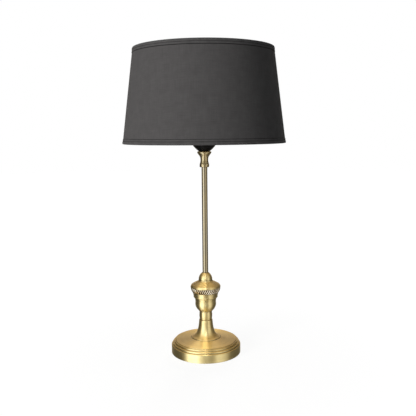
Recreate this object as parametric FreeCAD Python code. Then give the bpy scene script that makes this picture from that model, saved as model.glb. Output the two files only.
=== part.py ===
import FreeCAD, Part
import math
import os

# A brass candlestick table lamp: weighted round foot, trumpet pedestal, urn with a fluted ring,
# slender stem, candle cup, screw lampholder with a candle bulb, and a tapered drum shade.
# Millimetres.  +Z is up, the origin is the middle of the felt's underside, and the rear,
# where the cord bush sits, is +Y.

# ---- clearances ----
RUNNING_GAP = 0.05          # radial, between a nut's bore and the threaded tie tube
FREE_GAP = 0.2              # radial, where the tie tube only passes through
PLUG_GAP = 0.1              # radial, where one turned piece plugs into another
SEAT_GAP = 0.1              # between flat faces that part when the shade is lifted
MOVING_GAP = 0.35           # between pieces that move past each other
SKIN_GAP = 0.05             # between the glued layers of the shade
WELD_DEPTH = 0.3            # how far a welded wire sinks into what it is welded to
OVERCUT = 1.0               # how far a cutting shape reaches past the face that it cuts through

# ---- foot ----
PAD_THICKNESS = 3.0
FOOT_LIFT = 0.6             # the metal edge stands this far above the table
FOOT_RADIUS = 77.4
FOOT_WALL = 1.5
FOOT_EDGE_HEIGHT = 20.0     # top of the upright outer band
FOOT_EDGE_ROUND = 2.2
FOOT_LEDGE = 3.0            # from the band to the first riser
FOOT_STEPS = 2
FOOT_STEP_RUN = 3.8
FOOT_STEP_RISE = 4.2
FOOT_STEP_ROUND = 1.3
FOOT_HEIGHT = 34.3          # where the pedestal stands
WEIGHT_RIM_GAP = 2.6        # between the weight and the band
WEIGHT_RIM_HEIGHT = 15.0
WEIGHT_CHAMFER = 3.0
WEIGHT_BOSS_RADIUS = 20.0
WEIGHT_BOSS_FLARE = 6.0     # how much wider the boss is at its root
NUT_RECESS_RADIUS = 15.0
NUT_RECESS_DEPTH = 10.0
CORD_CHANNEL_WIDTH = 11.0
CORD_CHANNEL_DEPTH = 11.0

# ---- cord bush ----
BUSH_HEIGHT = 9.6           # its axis above the table
BUSH_BORE_RADIUS = 3.6
BUSH_BODY_RADIUS = 5.0
BUSH_FLANGE_RADIUS = 6.6
BUSH_FLANGE_THICKNESS = 2.0
BUSH_CLIP_THICKNESS = 2.0
BUSH_MOUTH_ROUND = 0.8

# ---- tie tube and its nuts ----
TIE_RADIUS = 5.0
TIE_BORE_RADIUS = 3.6
TIE_TAIL = 2.0              # how far it stands out below the foot nut
TIE_HEAD = 6.0              # how far it reaches into the lampholder
FOOT_NUT_WIDTH = 17.0       # across flats
FOOT_NUT_HEIGHT = 5.0
WASHER_RADIUS = 11.5
WASHER_THICKNESS = 1.2
TOP_NUT_WIDTH = 14.0
TOP_NUT_HEIGHT = 4.0

# ---- pedestal and neck ring ----
PEDESTAL_RADIUS = 32.5
PEDESTAL_EDGE = 1.9
PEDESTAL_HEIGHT = 40.2
PEDESTAL_TOP_RADIUS = 15.0
PEDESTAL_SWEEP_RUN = 9.0    # the trumpet's lower pull point lies this far inwards of the edge
PEDESTAL_SWEEP_RISE = 4.0
PEDESTAL_WAIST_PULL = 1.5   # its upper pull point lies this far outwards of the top
PEDESTAL_WAIST_HEIGHT = 14.5
PEDESTAL_TOP_CHAMFER = 1.5
PEDESTAL_WALL = 3.2
PEDESTAL_TOP_WEB = 6.0
NECK_HEIGHT = 20.0
NECK_RADIUS = 13.5
NECK_SWELL = 0.95
NECK_END = 1.2              # plain band at each end of the swelling
TURNED_STEP = 0.5           # how far a plain end band stands back from the swelling beside it

# ---- urn ----
BOWL_HEIGHT = 43.5
BOWL_FOOT_RADIUS = 15.2
BOWL_FOOT_BAND = 0.8
BOWL_BULB_RADIUS = 23.4
BOWL_BULB_HEIGHT = 16.5
BOWL_BULB_SWELL = 1.9
BOWL_WAIST_HOLLOW = 1.1
BOWL_STEP_RADIUS = 25.2
BOWL_STEP_HEIGHT = 31.5
BOWL_STEP_WIDTH = 1.6
BOWL_STEP_BAND = 2.4
BOWL_STEP_SWELL = 0.3
BOWL_FLARE_HOLLOW = 0.25
BOWL_RIM_RADIUS = 29.1
BOWL_WALL = 2.4
BOWL_FLOOR = 5.0
FLUTE_COUNT = 44
FLUTE_SECTIONS = 4          # stretches that the ring is lofted in
FLUTE_RING_HEIGHT = 11.0
FLUTE_RING_FOOT_RADIUS = 29.6
FLUTE_RING_TOP_RADIUS = 33.2
FLUTE_RING_BULGE = 0.9
FLUTE_DEPTH = 1.1
FLUTE_LEAN = 9.0            # degrees that each flute turns from foot to top
FLUTE_RING_WALL = 3.6
SHOULDER_HEIGHT = 16.5
LIP_RADIUS = 32.8
LIP_HEIGHT = 2.8
LIP_SWELL = 0.95
DOME_EDGE_RADIUS = 28.8
DOME_EDGE_HEIGHT = 7.2
DOME_EDGE_SWELL = 0.8
DOME_ROOT_RADIUS = 18.0
DOME_ROOT_HEIGHT = 12.8
DOME_SWELL = 0.25
DOME_ROOT_HOLLOW = 0.6
SHOULDER_WALL = 1.8
SHOULDER_WEB = 4.0
COLLAR_RADIUS = 15.3
COLLAR_HEIGHT = 16.6
COLLAR_SIDE_HEIGHT = 4.0
COLLAR_SIDE_TAPER = 0.3
COLLAR_BULGE = 1.4
COLLAR_LIP = 0.4            # flat ring round the stem at the collar's top

# ---- stem and candle cup ----
STEM_RADIUS = 6.35
STEM_WALL = 1.0
STEM_SHOWN = 233.5
STEM_SEAT_BELOW = 12.0      # how deep it plugs into the collar
STEM_SEAT_ABOVE = 5.0       # how deep it plugs into the cup ring
CUP_RING_RADIUS = 9.7
CUP_RING_SWELL = 0.7
CUP_RING_HEIGHT = 8.4
GRUB_RADIUS = 1.6
GRUB_HEAD_SHOWN = 0.3
GRUB_KEY_WIDTH = 1.5
GRUB_KEY_DEPTH = 1.0
GRUB_BEARING = 205.0        # degrees round from +X
CUP_FOOT_RADIUS = 9.2
CUP_FOOT_BAND = 1.2
CUP_WAIST_HEIGHT = 12.2
CUP_WAIST_RADIUS = 8.9
CUP_WAIST_HOLLOW = 0.65
CUP_FLARE_PULL_RUN = 0.8    # the flare's lower pull point, outwards of the waist
CUP_FLARE_PULL_RISE = 3.8
CUP_RIM_RADIUS = 14.8
CUP_RIM_PULL_RUN = 1.4      # its upper pull point, inwards of the rim and below it
CUP_RIM_PULL_DROP = 3.0
CUP_RIM_SWELL = 0.6
CUP_RIM_BAND = 3.7
CUP_RIM_CHAMFER = 0.4
CUP_RIM_WALL = 1.4
CUP_MOUTH_DEPTH = 3.0
CUP_MOUTH_TAPER = 0.2
CUP_MOUTH_GAP = 1.0         # round the lampholder's foot
CUP_HEIGHT = 25.5
CUP_FLOOR_HEIGHT = 19.0
CUP_FLOOR_RADIUS = 10.2

# ---- lampholder ----
CAP_FOOT_CHAMFER = 0.8
CAP_FOOT_HEIGHT = 3.2
CAP_SKIRT_HEIGHT = 6.5
CAP_SKIRT_EXTRA = 0.2       # how much wider the skirt is than the clamp ring
CAP_HEIGHT = 26.0
CAP_BULGE = 1.1
CAP_WALL = 2.4
CAP_NECK_HEIGHT = 8.0
CAP_NECK_WALL = 3.35
CAP_FLOOR_DROP = 2.0        # the floor round the neck lies this far below the neck's top
CAP_SCREW_RADIUS = 1.2
CAP_SCREW_BEARING = 90.0
CAP_SCREW_SUNK = 0.2
CAP_SCREW_SLOT = 0.5
CAP_SCREW_SLOT_DEPTH = 0.8
FLANGE_THICKNESS = 4.0
FLANGE_BORDER = 1.5         # how far the flange shows round the clamp ring
BARREL_WALL = 4.5
BARREL_HEIGHT = 35.0
BARREL_CHAMFER = 1.0
BARREL_THREAD_PITCH = 3.0
BARREL_THREAD_DEPTH = 0.5
BARREL_THREAD_SHARE = 0.6   # of the pitch that the ridge takes up
POCKET_WALL = 1.9           # what is left of the barrel's wall round the block
BLOCK_HEIGHT = 10.0
BLOCK_BELOW = 3.0           # how far it reaches down out of the barrel's pocket
WEB_THICKNESS = 3.0
BLOCK_BOSS_RADIUS = 7.6
BLOCK_BOSS_PROUD = 1.0
TERMINAL_OFFSET = 10.0
TERMINAL_RADIUS = 1.5
TERMINAL_HEAD_RADIUS = 2.8
TERMINAL_HEAD_HEIGHT = 1.8
TERMINAL_LENGTH = 6.0
TERMINAL_SLOT = 0.8
SHELL_GAP = 0.3             # between the liner and the barrel's bore
SHELL_WALL = 0.6
SHELL_LIP_WIDTH = 3.1
SHELL_HEIGHT = 24.0
RIVET_RADIUS = 1.1
RIVET_HEAD_EXTRA = 0.35     # how much wider the upper heads are than the shank
RIVET_FOOT_EXTRA = 0.9
RIVET_FOOT_HEIGHT = 1.2
CONTACT_WIDTH = 4.0
CONTACT_THICKNESS = 0.5
CONTACT_RISE = 2.8
CONTACT_FOOT = 6.0
CONTACT_END = 2.0           # how far the upper leaf reaches past the axis

# ---- screw fit of the bulb ----
SCREW_PITCH = 3.629
SCREW_CORE_RADIUS = 12.25
SCREW_CREST_RADIUS = 13.2
SCREW_RIDGE_WIDTH = 1.9
SCREW_ROOT = 0.25           # how far a ridge is rooted in its wall
SCREW_CREST_GAP = 0.4       # between the bulb's ridge and the liner's wall
SCREW_CORE_GAP = 0.37       # between the liner's ridge and the bulb's wall
SCREW_LEAD = 1.5            # turns by which the liner's ridge starts below the bulb's
LINER_TURNS = 4.5
BULB_TURNS = 3.5

# ---- bulb ----
TIP_RADIUS = 4.6
TIP_HEIGHT = 1.4
INSULATOR_INSET = 1.05      # how far its wide end stands back from the cap's wall
INSULATOR_HEIGHT = 5.4
INSULATOR_SWELL = 0.6
BULB_CAP_HEIGHT = 21.0
BULB_CAP_WALL = 0.7
BULB_CAP_LIP = 1.5          # how far the cap is turned in over the insulator
BULB_CAP_CHAMFER = 1.0
BULB_SKIRT_WALL = 0.8
BULB_SKIRT_HEIGHT = 4.5
GLASS_NECK_RADIUS = 12.1
GLASS_NECK_PULL = 10.0      # heights of the balloon's pull points and its widest place
GLASS_BELLY_PULL = 14.0
GLASS_BELLY_HEIGHT = 27.0
GLASS_TAPER_PULL = 0.35     # shares of the way from the widest place to the tip
GLASS_TIP_PULL = 0.58
GLASS_TIP_SPREAD = 4.0
GLASS_RADIUS = 17.5
GLASS_HEIGHT = 72.0
GLASS_WALL = 0.8
GLASS_SEAT = 3.0            # how deep the glass stands in its cap
GLASS_TIP_RADIUS = 2.0
MOUNT_HEIGHT = 20.0
MOUNT_RADIUS = 3.0
MOUNT_GAP = 0.4             # between the mount's flare and the neck
MOUNT_RIM = 1.0
MOUNT_FLARE_HEIGHT = 10.0
SUPPORT_RADIUS = 0.4
SUPPORT_BEAD = 0.48         # radius of the weld at each end of a filament
SUPPORT_RISE = 2.0          # of the mast over the filaments
FILAMENT_RISE = 1.5         # of the filaments over the mount
FILAMENT_BEARING = 45.0
FILAMENT_COUNT = 4
FILAMENT_RADIUS = 0.9
FILAMENT_LENGTH = 27.0
FILAMENT_FOOT_SPREAD = 6.5
FILAMENT_HEAD_SPREAD = 3.0

# ---- shade clamp ring and shade carrier ----
CLAMP_RADIUS = 27.0
CLAMP_HEIGHT = 8.0
CLAMP_RIBS = 36
CLAMP_RIB_DEPTH = 0.6
CARRIER_BORE_GAP = 1.6      # round the barrel
CARRIER_BORDER = 2.5        # how far the carrier shows round the flange
CARRIER_THICKNESS = 1.6
ARM_COUNT = 3
ARM_RADIUS = 1.5
ARM_DROP_RUN = 35.0         # from the shade's lower edge in to where each arm bends down
ARM_BEND_RADIUS = 20.0
ARM_BEARING = 90.0

# ---- shade ----
SHADE_BOTTOM_RADIUS = 175.0
SHADE_TOP_RADIUS = 149.7
SHADE_HEIGHT = 199.0
SHADE_RECESS = 9.9          # the carrier stands this far above the shade's lower edge
FABRIC_THICKNESS = 0.6
LINING_THICKNESS = 0.4
TAPE_THICKNESS = 0.5
TAPE_WIDTH = 9.5
HOOP_RADIUS = 1.5           # the wire of the top and bottom rings

# ---- sizes that follow from the fits ----
CUP_MOUTH_RADIUS = CUP_RIM_RADIUS - CUP_RIM_WALL
CAP_FOOT_RADIUS = CUP_MOUTH_RADIUS - CUP_MOUTH_GAP
SHELL_INNER_RADIUS = SCREW_CREST_RADIUS + SCREW_CREST_GAP
SHELL_RADIUS = SHELL_INNER_RADIUS + SHELL_WALL
SHELL_LIP_RADIUS = SHELL_INNER_RADIUS - SHELL_LIP_WIDTH
LINER_CREST_RADIUS = SCREW_CORE_RADIUS + SCREW_CORE_GAP
RIVET_OFFSET = (SHELL_LIP_RADIUS + SHELL_INNER_RADIUS) / 2
BARREL_BORE_RADIUS = SHELL_RADIUS + SHELL_GAP
BARREL_RADIUS = BARREL_BORE_RADIUS + BARREL_WALL
BLOCK_RADIUS = BARREL_RADIUS - POCKET_WALL - PLUG_GAP
FLANGE_RADIUS = CLAMP_RADIUS + FLANGE_BORDER
CAP_SKIRT_RADIUS = CLAMP_RADIUS + CAP_SKIRT_EXTRA
CARRIER_BORE_RADIUS = BARREL_RADIUS + CARRIER_BORE_GAP
CARRIER_RADIUS = FLANGE_RADIUS + CARRIER_BORDER
INSULATOR_RADIUS = SCREW_CORE_RADIUS - INSULATOR_INSET
BULB_SKIRT_RADIUS = GLASS_NECK_RADIUS + PLUG_GAP + BULB_SKIRT_WALL
MOUNT_FLARE_RADIUS = GLASS_NECK_RADIUS - GLASS_WALL - MOUNT_GAP
ARM_LEVEL_REACH = SHADE_BOTTOM_RADIUS - ARM_DROP_RUN

# ---- places that follow from the sizes above ----
WEIGHT_BASE = PAD_THICKNESS
NUT_RECESS_ROOF = WEIGHT_BASE + NUT_RECESS_DEPTH
PEDESTAL_BASE = FOOT_HEIGHT
NECK_BASE = PEDESTAL_BASE + PEDESTAL_HEIGHT
BOWL_BASE = NECK_BASE + NECK_HEIGHT
FLUTE_RING_BASE = BOWL_BASE + BOWL_HEIGHT
SHOULDER_BASE = FLUTE_RING_BASE + FLUTE_RING_HEIGHT
COLLAR_BASE = SHOULDER_BASE + SHOULDER_HEIGHT
STEM_BASE = COLLAR_BASE + COLLAR_HEIGHT - STEM_SEAT_BELOW
CUP_RING_BASE = COLLAR_BASE + COLLAR_HEIGHT + STEM_SHOWN
CUP_BASE = CUP_RING_BASE + CUP_RING_HEIGHT
TOP_NUT_BASE = CUP_BASE + CUP_FLOOR_HEIGHT
CAP_BASE = TOP_NUT_BASE + TOP_NUT_HEIGHT
FLANGE_BASE = CAP_BASE + CAP_HEIGHT
BARREL_BASE = FLANGE_BASE + FLANGE_THICKNESS
BARREL_TOP = BARREL_BASE + BARREL_HEIGHT
WEB_BASE = FLANGE_BASE + BLOCK_HEIGHT - BLOCK_BELOW
WEB_TOP = WEB_BASE + WEB_THICKNESS
BLOCK_TOP = WEB_TOP + BLOCK_BOSS_PROUD
BULB_BASE = BLOCK_TOP + CONTACT_RISE + CONTACT_THICKNESS + MOVING_GAP
INSULATOR_BASE = BULB_BASE + TIP_HEIGHT / 2
BULB_CAP_BASE = INSULATOR_BASE + INSULATOR_HEIGHT + MOVING_GAP
BULB_THREAD_BASE = BULB_CAP_BASE + SCREW_RIDGE_WIDTH
GLASS_BASE = BULB_CAP_BASE + BULB_CAP_HEIGHT - GLASS_SEAT
LINER_THREAD_BASE = BULB_THREAD_BASE - SCREW_LEAD * SCREW_PITCH
CARRIER_BASE = BARREL_BASE + SEAT_GAP
CLAMP_BASE = CARRIER_BASE + CARRIER_THICKNESS + SEAT_GAP
SHADE_BASE = CARRIER_BASE - SHADE_RECESS
TIE_BASE = NUT_RECESS_ROOF - WASHER_THICKNESS - FOOT_NUT_HEIGHT - TIE_TAIL
TIE_TOP = CAP_BASE + TIE_HEAD

UP = FreeCAD.Vector(0, 0, 1)
QUARTER_RISE = 1 - math.sqrt(0.5)   # how far a quarter circle stands off its chord, per radius
SAME_PLACE = 1e-6
TURN = 360                  # degrees


def point(radius, height):
    """A point of the half plane that is turned about the lamp's axis."""
    return FreeCAD.Vector(radius, 0, height)


class Outline:
    """A closed outline in the (radius, height) half plane, drawn from point to point."""

    def __init__(self, radius, height):
        self.start = point(radius, height)
        self.here = self.start
        self.edges = []

    def line(self, *ends):
        """Straight stretches through the (radius, height) pairs."""
        for radius, height in ends:
            there = point(radius, height)
            self.edges.append(Part.LineSegment(self.here, there).toShape())
            self.here = there
        return self

    def bow(self, radius, height, rise):
        """An arc to the point, standing off its chord by the rise, to the right if positive."""
        there = point(radius, height)
        along = there - self.here
        aside = FreeCAD.Vector(along.z, 0, -along.x).normalize()
        middle = (self.here + there) * 0.5 + aside * rise
        self.edges.append(Part.Arc(self.here, middle, there).toShape())
        self.here = there
        return self

    def dome(self, radius, height, side=1):
        """An arc to or from the axis that meets the axis squarely."""
        across = self.here.x + radius
        rise = abs(height - self.here.z)
        reach = across ** 2 + rise ** 2
        sphere = reach / (2 * rise)
        return self.bow(radius, height, side * (sphere - math.sqrt(sphere ** 2 - reach / 4)))

    def curve(self, *poles):
        """A smooth curve whose pull points are all but the last of the poles."""
        bezier = Part.BezierCurve()
        bezier.setPoles([self.here] + [point(radius, height) for radius, height in poles])
        self.edges.append(bezier.toShape())
        self.here = point(*poles[-1])
        return self

    def face(self):
        """The closed outline as a face."""
        if self.here.distanceToPoint(self.start) > SAME_PLACE:
            self.edges.append(Part.LineSegment(self.here, self.start).toShape())
        return Part.Face(Part.Wire(self.edges))

    def turned(self):
        """The solid that the outline sweeps round the lamp's axis."""
        return self.face().revolve(FreeCAD.Vector(), UP, TURN)


def ring(inner, outer, low, high):
    """A plain turned ring or tube."""
    return Outline(inner, low).line((outer, low), (outer, high), (inner, high)).turned()


def rod(radius, start, end):
    """A round rod between two points."""
    return Part.makeCylinder(radius, start.distanceToPoint(end), start, end - start)


def bearing(degrees):
    """The level unit vector at an angle round from +X."""
    return FreeCAD.Vector(math.cos(math.radians(degrees)), math.sin(math.radians(degrees)), 0)


def hex_nut(width, height, base, bore):
    """A hexagon nut round the lamp's axis."""
    corner = width / math.sqrt(3)
    flat = width / 2
    drop = (corner - flat) / 2
    corners = [bearing(TURN / 6 * index) * corner + UP * base for index in range(7)]
    prism = Part.Face(Part.makePolygon(corners)).extrude(UP * height)
    chamfer = Outline(0, base).line((flat, base), (corner, base + drop))
    chamfer.line((corner, base + height - drop), (flat, base + height), (0, base + height))
    hole = Part.makeCylinder(bore, height, UP * base)
    return prism.common(chamfer.turned()).cut(hole)


def lobed_wire(count, valley, crest, height, turn):
    """A closed wire of outward arcs round the lamp's axis, from valley to valley."""
    edges = []
    step = TURN / count
    for index in range(count):
        start = turn + step * index
        low = bearing(start) * valley + UP * height
        top = bearing(start + step / 2) * crest + UP * height
        high = bearing(start + step) * valley + UP * height
        edges.append(Part.Arc(low, top, high).toShape())
    return Part.Wire(edges)


def ridge(root, crest, width, pitch, turns, base):
    """A rounded screw ridge whose crest lies inside or outside its root, right handed."""
    helix = Part.makeHelix(pitch, pitch * turns, root)
    low = point(root, -width / 2)
    top = point(crest, 0)
    high = point(root, width / 2)
    section = Part.Wire([Part.Arc(low, top, high).toShape(), Part.LineSegment(high, low).toShape()])
    sweep = Part.BRepOffsetAPI.MakePipeShell(Part.Wire(helix))
    sweep.setBiNormalMode(UP)
    sweep.add(section)
    sweep.build()
    sweep.makeSolid()
    thread = sweep.shape()
    thread.translate(UP * base)
    return thread


# ---- foot ----

def foot_shell():
    """Spun brass foot: upright band, two steps, shallow cone and a hole for the bush."""
    inner = FOOT_RADIUS - FOOT_WALL
    outline = Outline(inner, FOOT_LIFT).line((FOOT_RADIUS - FOOT_WALL / 2, FOOT_LIFT))
    outline.bow(FOOT_RADIUS, FOOT_LIFT + FOOT_WALL / 2, FOOT_WALL / 2 * QUARTER_RISE)
    outline.line((FOOT_RADIUS, FOOT_EDGE_HEIGHT - FOOT_EDGE_ROUND))
    outline.bow(FOOT_RADIUS - FOOT_EDGE_ROUND, FOOT_EDGE_HEIGHT, FOOT_EDGE_ROUND * QUARTER_RISE)
    tread = FOOT_EDGE_HEIGHT
    riser = FOOT_RADIUS - FOOT_LEDGE
    for step in range(FOOT_STEPS):
        top = tread + FOOT_STEP_RISE
        outline.line((riser, tread), (riser, top - FOOT_STEP_ROUND))
        outline.bow(riser - FOOT_STEP_ROUND, top, FOOT_STEP_ROUND * QUARTER_RISE)
        tread = top
        riser -= FOOT_STEP_RUN
    lip = FOOT_STEP_ROUND / 2
    outline.line((riser + lip, tread), (riser + lip, tread + lip))
    outline.bow(riser, tread + 2 * lip, lip * QUARTER_RISE)
    outline.line((PEDESTAL_RADIUS, FOOT_HEIGHT), (TIE_RADIUS + FREE_GAP, FOOT_HEIGHT))
    under = FOOT_HEIGHT - FOOT_WALL
    outline.line((TIE_RADIUS + FREE_GAP, under), (PEDESTAL_RADIUS, under))
    outline.line((riser - FOOT_WALL, tread + 2 * lip - 2 * FOOT_WALL))
    outline.line((inner, FOOT_EDGE_HEIGHT - FOOT_EDGE_ROUND - FOOT_WALL))
    hole_start = FreeCAD.Vector(0, FOOT_RADIUS - 4 * FOOT_WALL, BUSH_HEIGHT)
    hole_end = FreeCAD.Vector(0, FOOT_RADIUS + FOOT_WALL, BUSH_HEIGHT)
    return outline.turned().cut(rod(BUSH_BODY_RADIUS + PLUG_GAP, hole_start, hole_end))


def foot_weight():
    """Cast iron disc inside the foot, with a boss, a recess for the nut and a cord channel."""
    rim = FOOT_RADIUS - FOOT_WALL - WEIGHT_RIM_GAP
    hole = TIE_RADIUS + FREE_GAP
    top = WEIGHT_BASE + WEIGHT_RIM_HEIGHT
    boss_top = FOOT_HEIGHT - FOOT_WALL
    outline = Outline(NUT_RECESS_RADIUS, WEIGHT_BASE).line((rim, WEIGHT_BASE))
    outline.line((rim, top - WEIGHT_CHAMFER), (rim - WEIGHT_CHAMFER, top))
    outline.line((WEIGHT_BOSS_RADIUS + WEIGHT_BOSS_FLARE, top), (WEIGHT_BOSS_RADIUS, boss_top))
    outline.line((hole, boss_top), (hole, NUT_RECESS_ROOF), (NUT_RECESS_RADIUS, NUT_RECESS_ROOF))
    channel_height = CORD_CHANNEL_DEPTH + OVERCUT
    channel_corner = FreeCAD.Vector(-CORD_CHANNEL_WIDTH / 2, 0, WEIGHT_BASE - OVERCUT)
    channel = Part.makeBox(CORD_CHANNEL_WIDTH, FOOT_RADIUS, channel_height, channel_corner)
    shaft = Part.makeCylinder(hole, FOOT_HEIGHT)
    return outline.turned().cut(channel).cut(shaft)


def foot_pad():
    """Felt disc under the weight."""
    return Part.makeCylinder(FOOT_RADIUS - FOOT_WALL - FREE_GAP, PAD_THICKNESS)


def cord_bushing():
    """Turned insulating bush through the rear of the foot, its bore along Y."""
    wall_outside = FOOT_RADIUS + SKIN_GAP
    mouth = BUSH_MOUTH_ROUND
    clip_radius = BUSH_FLANGE_RADIUS - mouth
    wall_inside = math.sqrt((FOOT_RADIUS - FOOT_WALL) ** 2 - clip_radius ** 2) - SKIN_GAP
    front = wall_outside + BUSH_FLANGE_THICKNESS
    back = wall_inside - BUSH_CLIP_THICKNESS
    outline = Outline(BUSH_BORE_RADIUS, back)
    outline.line((clip_radius, back), (clip_radius, wall_inside))
    outline.line((BUSH_BODY_RADIUS, wall_inside), (BUSH_BODY_RADIUS, wall_outside))
    outline.line((BUSH_FLANGE_RADIUS, wall_outside), (BUSH_FLANGE_RADIUS, front - mouth))
    outline.bow(BUSH_FLANGE_RADIUS - mouth, front, mouth * QUARTER_RISE)
    outline.line((BUSH_BORE_RADIUS + mouth, front))
    outline.bow(BUSH_BORE_RADIUS, front - mouth, mouth * QUARTER_RISE)
    bush = outline.turned()
    bush.rotate(FreeCAD.Vector(), FreeCAD.Vector(1, 0, 0), -90)
    bush.translate(UP * BUSH_HEIGHT)
    return bush


def foot_washer():
    """Steel washer against the roof of the weight's recess."""
    base = NUT_RECESS_ROOF - WASHER_THICKNESS
    return ring(TIE_RADIUS + FREE_GAP, WASHER_RADIUS, base, NUT_RECESS_ROOF)


def foot_nut():
    """Hexagon nut that pulls the whole stack together from below."""
    base = NUT_RECESS_ROOF - WASHER_THICKNESS - FOOT_NUT_HEIGHT
    return hex_nut(FOOT_NUT_WIDTH, FOOT_NUT_HEIGHT, base, TIE_RADIUS + RUNNING_GAP)


def tie_tube():
    """Threaded hollow rod from the foot to the lampholder."""
    return ring(TIE_BORE_RADIUS, TIE_RADIUS, TIE_BASE, TIE_TOP)


# ---- column ----

def pedestal():
    """Trumpet-shaped casting, hollow from below."""
    base = PEDESTAL_BASE
    top = base + PEDESTAL_HEIGHT
    web = top - PEDESTAL_TOP_WEB
    edge = PEDESTAL_RADIUS - PEDESTAL_EDGE
    sweep = edge - PEDESTAL_SWEEP_RUN
    waist = base + PEDESTAL_WAIST_HEIGHT
    mouth = PEDESTAL_RADIUS - 2 * PEDESTAL_WALL
    throat = PEDESTAL_TOP_RADIUS - PEDESTAL_WALL
    hole = TIE_RADIUS + FREE_GAP
    outline = Outline(mouth, base).line((PEDESTAL_RADIUS, base))
    outline.bow(edge, base + PEDESTAL_EDGE, PEDESTAL_EDGE * QUARTER_RISE)
    outline.curve((sweep, base + PEDESTAL_SWEEP_RISE), (PEDESTAL_TOP_RADIUS + PEDESTAL_WAIST_PULL, waist),
                  (PEDESTAL_TOP_RADIUS, top - PEDESTAL_TOP_CHAMFER))
    outline.line((PEDESTAL_TOP_RADIUS - TURNED_STEP, top), (hole, top), (hole, web), (throat, web))
    hollow = (sweep - 2 * PEDESTAL_WALL, base + PEDESTAL_SWEEP_RISE / 2)
    outline.curve((throat, waist), hollow, (mouth, base))
    return outline.turned()


def neck_ring():
    """Short swelling collar between pedestal and urn."""
    base = NECK_BASE
    top = base + NECK_HEIGHT
    hole = TIE_RADIUS + FREE_GAP
    band = NECK_RADIUS - TURNED_STEP
    outline = Outline(hole, base).line((band, base), (band, base + NECK_END))
    outline.line((NECK_RADIUS, base + NECK_END)).bow(NECK_RADIUS, top - NECK_END, NECK_SWELL)
    outline.line((band, top - NECK_END), (band, top), (hole, top))
    return outline.turned()


def urn_bowl():
    """Lower half of the urn: a bulb, a hollow waist, a step and a flaring band."""
    base = BOWL_BASE
    top = base + BOWL_HEIGHT
    step = base + BOWL_STEP_HEIGHT
    ledge = BOWL_STEP_RADIUS + BOWL_STEP_WIDTH
    hole = TIE_RADIUS + FREE_GAP
    outline = Outline(hole, base)
    outline.line((BOWL_FOOT_RADIUS, base), (BOWL_FOOT_RADIUS, base + BOWL_FOOT_BAND))
    outline.bow(BOWL_BULB_RADIUS, base + BOWL_BULB_HEIGHT, BOWL_BULB_SWELL)
    outline.bow(BOWL_STEP_RADIUS, step, -BOWL_WAIST_HOLLOW)
    outline.line((ledge, step + TURNED_STEP)).bow(ledge, step + BOWL_STEP_BAND, BOWL_STEP_SWELL)
    outline.bow(BOWL_RIM_RADIUS, top, -BOWL_FLARE_HOLLOW)
    outline.line((BOWL_RIM_RADIUS - BOWL_WALL, top), (BOWL_STEP_RADIUS - BOWL_WALL, step - BOWL_WALL))
    outline.line((BOWL_BULB_RADIUS - 2 * BOWL_WALL, base + BOWL_BULB_HEIGHT))
    outline.line((BOWL_FOOT_RADIUS - BOWL_WALL, base + BOWL_FLOOR), (hole, base + BOWL_FLOOR))
    return outline.turned()


def fluted_ring():
    """Cast ring of leaning flutes round the urn's widest part."""
    base = FLUTE_RING_BASE
    top = base + FLUTE_RING_HEIGHT
    rise = FLUTE_RING_TOP_RADIUS - FLUTE_RING_FOOT_RADIUS
    wires = []
    for section in range(FLUTE_SECTIONS + 1):
        share = section / FLUTE_SECTIONS
        bulge = 4 * share * (1 - share) * FLUTE_RING_BULGE
        crest = FLUTE_RING_FOOT_RADIUS + share * rise + bulge
        height = base + share * FLUTE_RING_HEIGHT
        wires.append(lobed_wire(FLUTE_COUNT, crest - FLUTE_DEPTH, crest, height, share * FLUTE_LEAN))
    body = Part.makeLoft(wires, True, True)
    foot_bore = FLUTE_RING_FOOT_RADIUS - FLUTE_RING_WALL
    top_bore = FLUTE_RING_TOP_RADIUS - FLUTE_RING_WALL
    bore = Outline(0, base - OVERCUT).line((foot_bore, base - OVERCUT), (foot_bore, (base + top) / 2))
    bore.line((top_bore, top), (top_bore, top + OVERCUT), (0, top + OVERCUT))
    return body.cut(bore.turned())


def urn_shoulder():
    """Upper half of the urn: rolled lip, low dome and the root of the collar."""
    base = SHOULDER_BASE
    top = base + SHOULDER_HEIGHT
    hole = TIE_RADIUS + FREE_GAP
    wall = SHOULDER_WALL
    web = top - SHOULDER_WEB
    outline = Outline(LIP_RADIUS - 2 * wall, base).line((LIP_RADIUS - TURNED_STEP, base))
    outline.bow(LIP_RADIUS, base + LIP_HEIGHT, LIP_SWELL)
    outline.bow(DOME_EDGE_RADIUS, base + DOME_EDGE_HEIGHT, DOME_EDGE_SWELL)
    outline.bow(DOME_ROOT_RADIUS, base + DOME_ROOT_HEIGHT, DOME_SWELL)
    outline.bow(COLLAR_RADIUS, top, -DOME_ROOT_HOLLOW)
    outline.line((hole, top), (hole, web), (COLLAR_RADIUS - 2 * wall, web))
    outline.line((DOME_ROOT_RADIUS - wall / 2, base + DOME_ROOT_HEIGHT - 3 / 2 * wall))
    outline.line((DOME_EDGE_RADIUS - wall / 2, base + DOME_EDGE_HEIGHT - wall))
    outline.line((LIP_RADIUS - 2 * wall, base + LIP_HEIGHT))
    return outline.turned()


def stem_collar():
    """Domed collar that carries the stem."""
    base = COLLAR_BASE
    top = base + COLLAR_HEIGHT
    hole = TIE_RADIUS + FREE_GAP
    seat = STEM_RADIUS + PLUG_GAP
    outline = Outline(hole, base).line((COLLAR_RADIUS, base))
    outline.line((COLLAR_RADIUS - COLLAR_SIDE_TAPER, base + COLLAR_SIDE_HEIGHT))
    outline.bow(seat + COLLAR_LIP, top, COLLAR_BULGE)
    outline.line((seat, top), (seat, STEM_BASE), (hole, STEM_BASE))
    return outline.turned()


def stem_tube():
    """Plain drawn tube round the tie tube."""
    return ring(STEM_RADIUS - STEM_WALL, STEM_RADIUS, STEM_BASE, CUP_RING_BASE + STEM_SEAT_ABOVE)


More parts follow.
